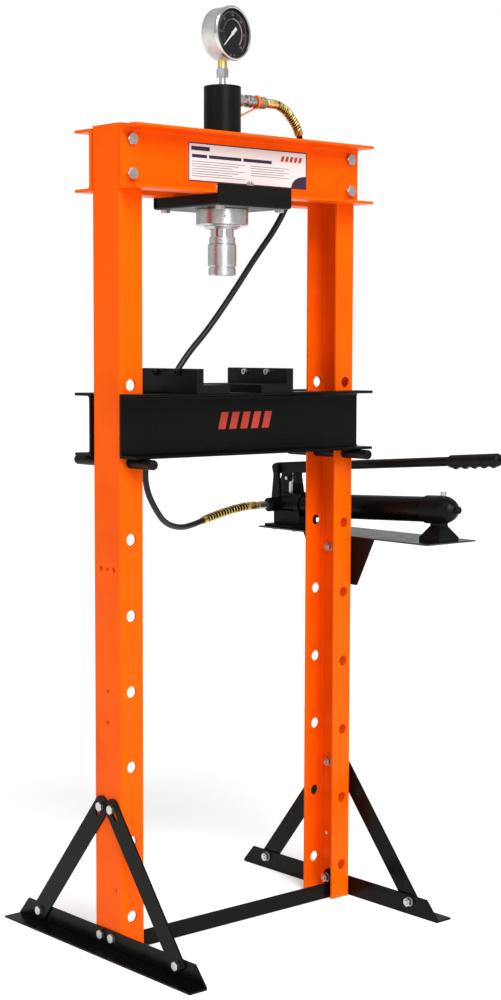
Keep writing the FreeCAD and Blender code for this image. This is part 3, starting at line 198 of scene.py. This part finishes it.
def metal(name, color, roughness, stretch=(1, 1, 1), turn=0.0, grain=60, groove=0.00004, edge=0.0005):
    """Bare or plated metal with tooling lines along the stretched directions."""
    s = Shader(name, Metallic=1.0)
    lines = s.noise(grain, 4, stretch, turn)
    cloud = s.noise(25, 3)
    tint = s.ramp(cloud, [(0.3, shade(color, 0.82)), (0.52, color), (0.75, shade(color, 1.08))])
    s.set("Base Color", tint)
    s.set("Roughness", s.spread(lines, roughness * 0.7, roughness * 1.35))
    s.set("Normal", s.bump(lines, groove, 1.0, s.soft_edges(edge)))
    return s.material


def moulded(name, color, roughness, pore=0.00005, scale=700, specular=0.3, cloud=0.15):
    """Moulded plastic or rubber with a fine skin."""
    s = Shader(name, Specular_IOR_Level=specular)
    stops = [(0.3, shade(color, 1 - cloud)), (0.7, shade(color, 1 + cloud))]
    s.set("Base Color", s.ramp(s.noise(22, 4), stops))
    s.set("Roughness", s.spread(s.noise(60, 4), roughness * 0.85, roughness * 1.15))
    s.set("Normal", s.bump(s.noise(scale, 3), pore))
    return s.material


GAUGE_TURN = math.radians(9.5)
LINES_ROUND_Z = (1, 1, 40)
ORANGE = (0.88, 0.098, 0.0)
BLACK = (0.0026, 0.0026, 0.0022)

# The second colour of each paint is the lighter one along its edges: a painted edge highlight with a little wear.
orange_paint = paint("orange_paint", ORANGE, (0.92, 0.20, 0.03), 0.34, specular=0.06)
black_gloss = paint("black_gloss_paint", BLACK, (0.02, 0.02, 0.02), 0.26, specular=0.09)
shelf_black = paint("black_shelf_paint", (0.004, 0.004, 0.0035), (0.03, 0.03, 0.03), 0.24)
black_satin = paint("black_satin_paint", (0.0048, 0.0048, 0.0042), (0.03, 0.03, 0.026), 0.36, 0.0001, 0.11)
cast_black = paint("black_cast_paint", (0.004, 0.004, 0.0035), (0.022, 0.022, 0.02), 0.34, 0.0003, 0.10,
                   0.0014)
zinc = metal("zinc_plate", (0.56, 0.56, 0.55), 0.32)
zinc_dull = metal("zinc_plate_dull", (0.44, 0.42, 0.38), 0.32)
turned_steel = metal("turned_steel", (0.64, 0.64, 0.64), 0.30, LINES_ROUND_Z, groove=0.000002)
ring_steel = metal("ring_nut_steel", (0.63, 0.63, 0.62), 0.30, LINES_ROUND_Z, groove=0.000002)
rod_chrome = metal("rod_chrome", (0.80, 0.80, 0.80), 0.10, LINES_ROUND_Z, groove=0.000005)
case_steel = metal("gauge_case_aluminium", (0.72, 0.72, 0.70), 0.42, (1, 30, 1), GAUGE_TURN, groove=0.00001)
bezel_steel = metal("gauge_bezel_steel", (0.72, 0.71, 0.69), 0.20, (1, 12, 1), GAUGE_TURN, groove=0.00001)
spring_steel = metal("spring_steel", (0.35, 0.35, 0.36), 0.35)
brass = metal("brass", (0.90, 0.68, 0.25), 0.36, edge=0.0004)
yellow_zinc = metal("yellow_zinc", (0.72, 0.54, 0.17), 0.32)
olive_zinc = metal("olive_zinc", (0.42, 0.34, 0.18), 0.34)
hose_rubber = moulded("hose_rubber", (0.008, 0.008, 0.008), 0.40, pore=0.0001)
grip_rubber = moulded("grip_rubber", (0.005, 0.005, 0.0045), 0.38, pore=0.0001, specular=0.12)
orange_plastic = moulded("orange_plastic", (0.90, 0.17, 0.01), 0.35)
dial_black = moulded("dial_black", (0.008, 0.008, 0.008), 0.5, specular=0.15)
dial_white = moulded("dial_white", (0.75, 0.73, 0.68), 0.5)
dial_grey = moulded("dial_grey", (0.24, 0.235, 0.22), 0.5)
dial_red = moulded("dial_red", (0.40, 0.03, 0.02), 0.5)
mark_red = moulded("mark_red", (0.42, 0.035, 0.02), 0.35)
label_white = moulded("label_white", (0.70, 0.69, 0.68), 0.25, pore=0.00001, cloud=0.02)
label_purple = moulded("label_purple", (0.035, 0.02, 0.045), 0.25, pore=0.00001)
label_grey = moulded("label_grey", (0.22, 0.22, 0.24), 0.25, pore=0.00001)
glass = Shader("gauge_glass", Base_Color=(0.98, 0.99, 1, 1), Transmission_Weight=1.0, IOR=1.12)
glass.set("Roughness", glass.spread(glass.noise(40, 3), 0.01, 0.04))

# The shelf's upper side is glossier than its apron.
SHELF_GLOSS_ABOVE = 0.7905
SHELF_GLOSS = {"From Min": SHELF_GLOSS_ABOVE - 0.0005, "From Max": SHELF_GLOSS_ABOVE,
               "To Min": 0.08, "To Max": 0.85}


def glossy_above(material, limits):
    """Raise the shine of the part of a piece that lies above a height."""
    tree = material.node_tree
    height = tree.nodes.new("ShaderNodeSeparateXYZ")
    step = tree.nodes.new("ShaderNodeMapRange")
    tree.links.new(tree.nodes.new("ShaderNodeTexCoord").outputs["Object"], height.inputs[0])
    for key, value in limits.items():
        step.inputs[key].default_value = value
    tree.links.new(height.outputs["Z"], step.inputs["Value"])
    shader = next(n for n in tree.nodes if n.type == "BSDF_PRINCIPLED")
    tree.links.new(step.outputs["Result"], shader.inputs["Specular IOR Level"])


glossy_above(shelf_black, SHELF_GLOSS)

MATERIALS = {
    orange_paint: "left_post right_post head_channel_front head_channel_rear",
    black_gloss: "bed_channel_front bed_channel_rear bed_spacers left_foot right_foot left_strut_front "
                 "left_strut_rear right_strut_front right_strut_rear cross_bar reservoir_tube",
    shelf_black: "pump_shelf",
    black_satin: "carriage_tray carriage_spacers cylinder_tube left_press_block right_press_block "
                 "left_bed_pin right_bed_pin lever_tube left_block_screws",
    cast_black: "pump_body reservoir_cap lever_head release_knob",
    zinc: "head_bolts frame_bolts right_block_screws filler_screw lever_pins gauge_coupling ram_fitting "
          "pump_fitting carriage_bolts shelf_bolts",
    turned_steel: "press_head plunger piston",
    ring_steel: "ring_nut cylinder_gland",
    rod_chrome: "piston_rod",
    case_steel: "gauge_case",
    bezel_steel: "gauge_bezel",
    spring_steel: "return_spring",
    brass: "gauge_stem",
    label_white: "label_plate",
    dial_black: "gauge_dial",
    dial_white: "gauge_pointer",
    glass.material: "gauge_glass",
}
for material, names in MATERIALS.items():
    for name in names.split():
        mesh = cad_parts[name].data
        for i in range(len(mesh.materials)):
            mesh.materials[i] = material


# ---- mesh helpers ------------------------------------------------------------------------------
def piece(name, verts, faces, material, body="frame", smooth=True, slot=None):
    mesh = bpy.data.meshes.new(name)
    mesh.from_pydata([tuple(v) for v in verts], [], faces)
    mesh.validate()
    shell = bmesh.new()
    shell.from_mesh(mesh)
    bmesh.ops.recalc_face_normals(shell, faces=shell.faces)
    shell.to_mesh(mesh)
    shell.free()
    mesh.materials.append(material)
    mesh.polygons.foreach_set("use_smooth", [smooth] * len(mesh.polygons))
    if smooth:
        mesh.set_sharp_from_angle(angle=math.radians(38))
    made = bpy.data.objects.new(name, mesh)
    bpy.context.scene.collection.objects.link(made)
    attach(made, body)
    return made


def merged(parts):
    """Several (verts, faces) as one."""
    verts, faces = [], []
    for some_verts, some_faces in parts:
        faces += [tuple(i + len(verts) for i in f) for f in some_faces]
        verts += list(some_verts)
    return verts, faces


def frame_of(direction):
    """Two directions square to one, and each other."""
    direction = direction.normalized()
    side = direction.cross(UP if abs(direction.z) < 0.9 else Vector((1, 0, 0))).normalized()
    return side, side.cross(direction)


def loft(rings, closed_ends=True, loop=False):
    """Skin a row of equal rings of points."""
    count, size = len(rings), len(rings[0])
    verts = [p for ring in rings for p in ring]
    faces = []
    for i in range(count if loop else count - 1):
        a, b = i * size, (i + 1) % count * size
        faces += [(a + j, a + (j + 1) % size, b + (j + 1) % size, b + j) for j in range(size)]
    if closed_ends and not loop:
        faces += [tuple(range(size))[::-1], tuple(range((count - 1) * size, count * size))]
    return verts, faces


def turned(base, direction, profile, steps=64, wave=None):
    """A turned body: (radius, height) in mm along a direction; wave(angle, height) shifts the radius."""
    side, other = frame_of(direction)
    direction = direction.normalized()
    rings = []
    for radius, height in profile:
        ring = []
        for i in range(steps):
            angle = 2 * math.pi * i / steps
            r = radius + (wave(angle, height) if wave else 0)
            ring.append(base + (side * math.cos(angle) + other * math.sin(angle)) * r / 1000
                        + direction * height / 1000)
        rings.append(ring)
    return loft(rings)


def tube(points, radius, sides=16, loop=False):
    """A round bar along points, in metres, carried without twist."""
    rings = []
    normal = frame_of(points[1] - points[0])[0]
    count = len(points)
    for i, point in enumerate(points):
        back = points[i - 1] if i or loop else points[0]
        front = points[(i + 1) % count] if i < count - 1 or loop else points[-1]
        heading = (front - back).normalized()
        normal = (normal - heading * normal.dot(heading)).normalized()
        other = heading.cross(normal)
        rings.append([point + (normal * math.cos(a) + other * math.sin(a)) * radius
                      for a in (2 * math.pi * j / sides for j in range(sides))])
    return loft(rings, loop=loop)


def slab_between(corner, along, up, out, width, height, depth):
    """A flat block from a corner, its sizes in mm along three directions."""
    outline = [(0, 0), (width, 0), (width, height), (0, height)]
    rings = [[corner + along * u / 1000 + up * v / 1000 + out * d / 1000 for u, v in outline]
             for d in (0, depth)]
    return loft(rings)


# ---- hose --------------------------------------------------------------------------------------
HOSE_ROUTE = [
    (437.3, 46, 1696), (461, 48, 1690), (485, 54, 1675), (506.2, 57.5, 1655.9), (520.7, 61.9, 1629.3),
    (523.9, 67.2, 1598.1), (516.3, 71, 1559.8), (501.8, 72.5, 1510.6), (477.8, 89.7, 1448.8),
    (450, 121, 1390), (420, 146, 1328), (386, 163, 1272), (348, 168, 1226), (305, 169, 1186),
    (266, 172, 1136), (239, 176, 1077), (224, 182, 1015), (206.9, 193.3, 952.8), (217.5, 202.3, 898.9),
    (255.1, 217.5, 853.1), (300.4, 242.5, 820.4), (356.5, 263.3, 806.1), (406.6, 280.2, 808.8),
    (454.9, 288.5, 819.9), (502, 294.7, 828.8), (547, 300.8, 835.8), (584, 304, 839)]
HOSE_DIAMETER = 0.013


def hose_curve(name, bevel):
    data = bpy.data.curves.new(name, "CURVE")
    data.dimensions = "3D"
    data.resolution_u = 12
    data.bevel_depth = bevel
    data.bevel_resolution = 6
    data.use_fill_caps = True
    spline = data.splines.new("NURBS")
    spline.points.add(len(HOSE_ROUTE) - 1)
    for point, where in zip(spline.points, HOSE_ROUTE):
        point.co = (*place(*where), 1)
    spline.order_u = 3
    spline.use_endpoint_u = True
    return data


hose = bpy.data.objects.new("hose_line", hose_curve("hose_line", HOSE_DIAMETER / 2))
bpy.context.scene.collection.objects.link(hose)
hose.data.materials.append(hose_rubber)
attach(hose, "frame")
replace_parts(hose, "hose")

bare = bpy.data.objects.new("hose_centre", hose_curve("hose_centre", 0.0))
hose_path = [v.co.copy() for v in bpy.data.meshes.new_from_object(bare).vertices]
bpy.data.objects.remove(bare)


class Track:
    """Distances along a row of points."""

    def __init__(self, points):
        self.points = points
        self.marks = [0.0]
        for a, b in zip(points, points[1:]):
            self.marks.append(self.marks[-1] + (b - a).length)
        self.length = self.marks[-1]

    def at(self, distance):
        distance = min(max(distance, 0.0), self.length)
        for i, mark in enumerate(self.marks[1:]):
            if distance <= mark:
                share = (distance - self.marks[i]) / (mark - self.marks[i])
                return self.points[i].lerp(self.points[i + 1], share)
        return self.points[-1].copy()

    def heading(self, distance):
        return (self.at(distance + 0.002) - self.at(distance - 0.002)).normalized()


track = Track(hose_path)
back_track = Track(hose_path[::-1])


def spring_guard(name, along, length, pitch, node):
    """An open-wound wire round the hose's end, closed by a plain collar at its free end."""
    wire, radius, sides, collar = 0.0016, 0.0081, 28, 0.011
    normal = frame_of(along.heading(0.0))[0]
    points = []
    for i in range(int((length - collar) / pitch * sides)):
        distance = i / sides * pitch
        heading = along.heading(distance)
        normal = (normal - heading * normal.dot(heading)).normalized()
        other = heading.cross(normal)
        angle = 2 * math.pi * i / sides
        points.append(along.at(distance) + (normal * math.cos(angle) + other * math.sin(angle)) * radius)
    end = [along.at(length - collar + collar * i / 6) for i in range(7)]
    guard = piece(name, *merged([tube(points, wire, 8), tube(end, 0.0092, 32)]), yellow_zinc, slot="brass")
    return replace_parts(guard, node)


upper_spring = spring_guard("upper_spring_guard", track, length=0.098, pitch=0.0060, node="upper_guard")
lower_spring = spring_guard("lower_spring_guard", back_track, length=0.149, pitch=0.0090, node="lower_guard")


def ferrule(name, base, direction):
    """A plain sleeve with a shallow groove near its outer end."""
    profile = [(0, 0), (8.2, 0), (9.3, 1), (9.5, 2), (9.5, 4.5), (9.1, 5.2), (9.1, 6.2), (9.5, 7),
               (9.5, 24.5), (9.2, 26), (8.4, 26.9), (0, 26.9)]
    return piece(name, *turned(base, direction, profile), brass, slot="brass")


RAM_PORT_Z, MIDDLE_Y = 1696, 46
PORT_Y, PORT_Z = 304, 839
RIGHT = Vector((1, 0, 0))
BACK = Vector((0, 1, 0))
upper_ferrule = ferrule("upper_ferrule", place(410, MIDDLE_Y, RAM_PORT_Z), RIGHT)
lower_ferrule = ferrule("lower_ferrule", place(611, PORT_Y, PORT_Z), -RIGHT)
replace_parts(upper_ferrule, "hose_ferrules")
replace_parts(lower_ferrule, "hose_ferrules")


# ---- quick coupler and its dust cap --------------------------------------------------------------
COUPLER_START_X = 353.2
DUST_CAP_RING_X = 383.0
KNURL_RIDGES = 36


def coupler():
    """The coupler's plain barrel and its knurled sleeve behind the dust cap's ring."""
    barrel = [(0, 0), (11.4, 0), (12.4, 1), (12.4, 7), (11.4, 8), (11.4, 9.5), (12.8, 10.5), (12.8, 15),
              (11.8, 16), (10, 16.5), (10, 34), (11.2, 35), (0, 35)]
    ridges = [(0, 35), (11.2, 35)] + [(11.6, 35.5 + 0.55 * i) for i in range(29)]
    tail = [(11.2, 51.6), (10.6, 52.6), (9.4, 54.5), (9.0, 56.6), (0, 56.6)]

    def knurl(angle, height):
        if not 35.4 < height < 51:
            return 0.0
        turn, rise = KNURL_RIDGES * angle, height * 2.4
        return 0.3 * math.sin(turn + rise) * math.sin(turn - rise) + 0.25

    base = place(COUPLER_START_X, MIDDLE_Y, RAM_PORT_Z)
    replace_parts(piece("quick_coupler", *turned(base, RIGHT, barrel, 96), zinc_dull, slot="zinc"), "hose_coupler")
    sleeve = turned(base, RIGHT, ridges + tail, 288, knurl)
    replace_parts(piece("coupler_sleeve", *sleeve, olive_zinc, slot="zinc"), "hose_coupler")


def dust_cap():
    """The orange ring on the coupler, its twin-strand strap and the cap that hangs from it."""
    size = 72
    section = [(10.3, -2.4), (12.0, -3), (13.4, -2.6), (14.0, -1.6), (14.0, 1.6), (13.4, 2.6), (12.0, 3),
               (10.3, 2.4)]
    ring_verts, ring_faces = turned(place(DUST_CAP_RING_X, MIDDLE_Y, RAM_PORT_Z), RIGHT, section, size)
    ring_faces = ring_faces[:-2]
    last = (len(section) - 1) * size
    ring_faces += [(j, last + j, last + (j + 1) % size, (j + 1) % size) for j in range(size)]
    strands = []
    for shift in (-2.6, 2.6):
        knots = [place(380, MIDDLE_Y + shift, 1683), place(366, MIDDLE_Y + 4 + shift, 1676),
                 place(345, MIDDLE_Y + 14 + 1.6 * shift, 1664), place(326, MIDDLE_Y + 28 + 2 * shift, 1653),
                 place(316, MIDDLE_Y + 42 + 1.4 * shift, 1645)]
        strands.append(tube(smooth_path(knots, 8), 0.0013, 10))
    cap_at = place(316, MIDDLE_Y + 42, 1646)
    plug = turned(cap_at, Vector((-0.3, 0.35, -1)),
                  [(0, -2), (9, -2), (12.6, -0.6), (13.2, 1), (13.2, 14), (12.4, 15), (10.8, 15), (10.8, 3),
                   (0, 3)], 56)
    whole = merged([(ring_verts, ring_faces)] + strands + [plug])
    made = piece("dust_cap_and_strap", *whole, orange_plastic, slot="orange_plastic")
    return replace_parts(made, "dust_cap")


def smooth_path(knots, steps):
    """Points on a smooth curve through the knots."""
    points = []
    padded = [knots[0] * 2 - knots[1]] + knots + [knots[-1] * 2 - knots[-2]]
    for a, b, c, d in zip(padded, padded[1:], padded[2:], padded[3:]):
        for i in range(steps):
            t = i / steps
            points.append(((b * 2) + (c - a) * t + (a * 2 - b * 5 + c * 4 - d) * t * t
                           + (b * 3 - a - c * 3 + d) * t * t * t) / 2)
    return points + [knots[-1]]


coupler()
dust_cap()

# ---- gauge face --------------------------------------------------------------------------------
FACING = Vector((math.sin(GAUGE_TURN), -math.cos(GAUGE_TURN), 0))
DIAL_RIGHT = Vector((math.cos(GAUGE_TURN), math.sin(GAUGE_TURN), 0))
DIAL_CENTRE = place(292.5, MIDDLE_Y, 1821.5) + FACING * 0.0262
MARK_HEIGHT = 0.25
SWEEP_START, SWEEP = math.radians(225), math.radians(270)


def dial_point(radius, angle, lift=0.0):
    outward = DIAL_RIGHT * math.cos(angle) + UP * math.sin(angle)
    return DIAL_CENTRE + outward * radius / 1000 + FACING * lift / 1000


def dial_arc(inner, outer, start, sweep, steps):
    """A flat printed band with a little thickness."""
    rings = []
    for i in range(steps + 1):
        angle = start - sweep * i / steps
        rings.append([dial_point(inner, angle, 0.0), dial_point(outer, angle, 0.0),
                      dial_point(outer, angle, MARK_HEIGHT), dial_point(inner, angle, MARK_HEIGHT)])
    return loft(rings)


def dial_ticks(inner, outer, half_width, count, skip=None):
    """Printed ticks spread evenly over the sweep, without every skip-th one."""
    parts = []
    for i in range(count + 1):
        if skip and i % skip == 0:
            continue
        angle = SWEEP_START - SWEEP * i / count
        across_tick = DIAL_RIGHT * -math.sin(angle) + UP * math.cos(angle)
        w = across_tick * half_width / 1000
        rings = []
        for lift in (0.0, MARK_HEIGHT):
            a, b = dial_point(inner, angle, lift), dial_point(outer, angle, lift)
            rings.append([a - w, b - w, b + w, a + w])
        parts.append(loft(rings))
    return parts


def dial_number(text, radius, angle, size):
    """A number printed on the dial."""
    data = bpy.data.curves.new("number", "FONT")
    data.body = text
    data.size = size / 1000
    data.align_x = "CENTER"
    data.align_y = "CENTER"
    data.extrude = MARK_HEIGHT / 2000
    holder = bpy.data.objects.new("number", data)
    holder.matrix_world = Matrix.Translation(dial_point(radius, angle, MARK_HEIGHT / 2)) @ Matrix(
        (DIAL_RIGHT, UP, FACING)).transposed().to_4x4()
    mesh = bpy.data.meshes.new_from_object(holder)
    verts = [holder.matrix_world @ v.co for v in mesh.vertices]
    faces = [tuple(p.vertices) for p in mesh.polygons]
    bpy.data.objects.remove(holder)
    return verts, faces


def gauge_face():
    """A plain scale: an outer ring of ticks with numbers, and inside it ticks, a white and a red arc."""
    grey = [dial_arc(40.9, 41.3, SWEEP_START, SWEEP, 90)]
    grey += dial_ticks(41.3, 45.0, 0.30, 6)
    grey += dial_ticks(41.3, 43.4, 0.15, 60, skip=10)
    grey += [dial_number(str(10 * i), 35.5, SWEEP_START - SWEEP * i / 6, 6.2) for i in range(7)]
    grey += [turned(DIAL_CENTRE + DIAL_RIGHT * x / 1000 - UP * 0.0432, FACING,
                    [(0, 0), (1.5, 0), (1.5, 0.5), (1.0, 0.7), (0, 0.7)], 20) for x in (-5, 5)]
    piece("dial_scale", *merged(grey), dial_grey, smooth=False, slot="pointer_white")
    inner = [dial_arc(28.6, 29.2, SWEEP_START - SWEEP * 0.5, SWEEP * 0.5, 50)]
    inner += dial_ticks(26.2, 28.6, 0.2, 24)
    piece("dial_inner_scale", *merged(inner), dial_white, smooth=False, slot="pointer_white")
    red = [dial_arc(30.0, 30.8, SWEEP_START - SWEEP * 0.62, SWEEP * 0.38, 40)]
    piece("dial_red_scale", *merged(red), dial_red, smooth=False, slot="pointer_white")


gauge_face()

# ---- label on the head ---------------------------------------------------------------------------
def slanted(origin, width, height, lean, depth):
    """A leaning stripe, printed on a face that looks to the front; sizes in mm."""
    corners = ((0, 0), (width, 0), (width + lean, height), (lean, height))
    return loft([[origin + (RIGHT * u + UP * v - BACK * d) / 1000 for u, v in corners] for d in (0, depth)])


def label_art():
    """The label's printed border, its headline of plain blocks, quarter disc and rows of plain bars."""
    low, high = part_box("label_plate")
    origin = Vector((low[0], low[1], low[2]))
    width, height = (high[0] - low[0]) * 1000, (high[2] - low[2]) * 1000
    thick, print_depth = 2.2, 0.15

    def block(x, z, w, h):
        return slab_between(origin + RIGHT * x / 1000 + UP * z / 1000, RIGHT, UP, -BACK, w, h, print_depth)

    purple = [block(0, 0, width, thick), block(0, height - thick, width, thick),
              block(0, thick, thick, height - 2 * thick),
              block(width - thick, thick, thick, height - 2 * thick)]
    purple.append(block(7, height - 15, 47, 8))
    purple += [block(x, height - 29, w, 6.5) for x, w in ((9, 38), (52, 84), (141, 76))]
    corner = origin + (RIGHT * (width - thick) + UP * thick) / 1000
    arc = [corner + (-RIGHT * math.sin(a) * 40 + UP * math.cos(a) * 24) / 1000
           for a in (math.pi / 2 * i / 24 for i in range(25))]
    purple.append(loft([[p - BACK * d / 1000 for p in [corner] + arc] for d in (0, print_depth)]))
    piece("label_border", *merged(purple), label_purple, smooth=False, slot="black_paint")
    grey = [block(9, height - 37 - 4.7 * i, 137 - 17 * (i % 3), 1.3) for i in range(7)]
    grey += [block(161, height - 37 - 4.7 * i, 104 - 13 * (i % 2), 1.3) for i in range(5)]
    piece("label_bars", *merged(grey), label_grey, smooth=False, slot="black_paint")
    red = []
    for i in range(5):
        stripe = origin + (RIGHT * (width - 72 + 12 * i) + UP * (height - 22)) / 1000
        red.append(slanted(stripe, 7.5, 11, 4, print_depth))
    piece("label_mark", *merged(red), mark_red, smooth=False, slot="orange_plastic")


BED_WEB_Y, BED_MARK_X, BED_MARK_Z = -6.2, 239, 1033


def bed_mark():
    """The plain red mark on the bed's front web: five leaning stripes."""
    stripes = [slanted(place(BED_MARK_X + 29 * i, BED_WEB_Y, BED_MARK_Z), 19, 34, 9, 0.2) for i in range(5)]
    piece("bed_mark", *merged(stripes), mark_red, "bed", smooth=False, slot="orange_plastic")


bed_mark()
label_art()

# ---- lever grip --------------------------------------------------------------------------------
LEVER_SLOPE = math.tan(math.radians(4.2))
GRIP_RADIUS = 13.2


def lever_point(y):
    return place(697, y, 945.5 - LEVER_SLOPE * y)


def lever_grip():
    """The moulded grip: an oval handle with five finger bumps below and a domed end."""
    start, end = lever_point(-214), lever_point(-350)
    along = (end - start).normalized()
    top = RIGHT.cross(along) * -1
    length = (end - start).length * 1000
    rings, steps = [], 120
    for i in range(steps + 1):
        t = i / steps
        distance = length * t
        r = GRIP_RADIUS
        if distance < 4:
            r = 11.4 + 1.8 * math.sin(math.pi / 2 * distance / 4)
        if length - distance < 7:
            dome = math.sqrt(max(0.0, 1 - (1 - (length - distance) / 7) ** 2))
            r = GRIP_RADIUS * dome * 0.35 + GRIP_RADIUS * 0.65
        bump = max(0.0, math.cos(2 * math.pi * (distance - 16) / 26)) ** 0.7 if 5 < distance < 133 else 0.0
        ring = []
        for j in range(48):
            angle = 2 * math.pi * j / 48
            down = max(0.0, -math.sin(angle)) ** 1.5
            reach = r + 3.2 * bump * down + 0.8 * down
            ring.append(start + along * distance / 1000
                        + (RIGHT * math.cos(angle) * 0.94 + top * math.sin(angle)) * reach / 1000)
        rings.append(ring)
    dimple = [[p.lerp(end, 0.5) for p in rings[-1]], [p.lerp(end, 0.6) - along * 0.003 for p in rings[-1]]]
    made = piece("lever_grip_moulded", *loft(rings + dimple), grip_rubber, "lever", slot="grip_rubber")
    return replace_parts(made, "lever_grip")


lever_grip()

# ---- floor and light -----------------------------------------------------------------------------
def stage_floor():
    half = 30
    corners = ((-half, -half), (half, -half), (half, half), (-half, half))
    verts, faces = loft([[Vector((x, y, z)) for x, y in corners] for z in (-0.01, 0.0)])
    mesh = bpy.data.meshes.new("floor")
    mesh.from_pydata([tuple(v) for v in verts], [], faces)
    s = Shader("floor_white", Specular_IOR_Level=0.05, Emission_Color=(1, 1, 1, 1), Emission_Strength=0.34)
    s.set("Base Color", s.ramp(s.noise(2, 3), [(0.3, (0.93, 0.93, 0.93)), (0.7, (0.95, 0.95, 0.95))]))
    s.set("Roughness", s.spread(s.noise(5, 3), 0.9, 0.98))
    mesh.materials.append(s.material)
    floor = bpy.data.objects.new("floor", mesh)
    bpy.context.scene.collection.objects.link(floor)


def sun(name, toward, strength, spread):
    data = bpy.data.lights.new(name, "SUN")
    data.energy = strength
    data.angle = math.radians(spread)
    lamp = bpy.data.objects.new(name, data)
    lamp.matrix_world = Vector(toward).to_track_quat("Z", "Y").to_matrix().to_4x4()
    bpy.context.scene.collection.objects.link(lamp)


def softbox(name, where, target, size, watts):
    data = bpy.data.lights.new(name, "AREA")
    data.shape = "RECTANGLE"
    data.size, data.size_y = size
    data.energy = watts
    lamp = bpy.data.objects.new(name, data)
    aim = (Vector(where) - Vector(target)).normalized()
    lamp.matrix_world = Matrix.Translation(where) @ aim.to_track_quat("Z", "Y").to_matrix().to_4x4()
    bpy.context.scene.collection.objects.link(lamp)


def world_light():
    world = bpy.data.worlds.new("studio")
    bpy.context.scene.world = world
    world.use_nodes = True
    nodes, links = world.node_tree.nodes, world.node_tree.links
    nodes.clear()
    out = nodes.new("ShaderNodeOutputWorld")
    seen, lit = nodes.new("ShaderNodeBackground"), nodes.new("ShaderNodeBackground")
    seen.inputs["Color"].default_value = (1, 1, 1, 1)
    lit.inputs["Color"].default_value = (1, 1, 1, 1)
    seen.inputs["Strength"].default_value = 1.0
    diffuse_light, mirrored_light = 0.2, 0.48
    path, mix = nodes.new("ShaderNodeLightPath"), nodes.new("ShaderNodeMixShader")
    links.new(path.outputs["Is Camera Ray"], mix.inputs[0])
    strength = nodes.new("ShaderNodeMapRange")
    strength.inputs["To Min"].default_value = diffuse_light
    strength.inputs["To Max"].default_value = mirrored_light
    links.new(path.outputs["Is Glossy Ray"], strength.inputs["Value"])
    links.new(strength.outputs["Result"], lit.inputs["Strength"])
    links.new(lit.outputs[0], mix.inputs[1])
    links.new(seen.outputs[0], mix.inputs[2])
    links.new(mix.outputs[0], out.inputs["Surface"])


stage_floor()
world_light()
sun("sun", (-0.27, -0.71, 0.65), 3.2, 40)
softbox("key", (-1.2, -3.4, 2.4), (0, 0, 1.0), (1.2, 2.4), 40)
softbox("side", (-3.6, 0.2, 1.8), (0, 0, 0.9), (0.9, 2.6), 10)
bpy.context.scene.view_settings.view_transform = "Standard"
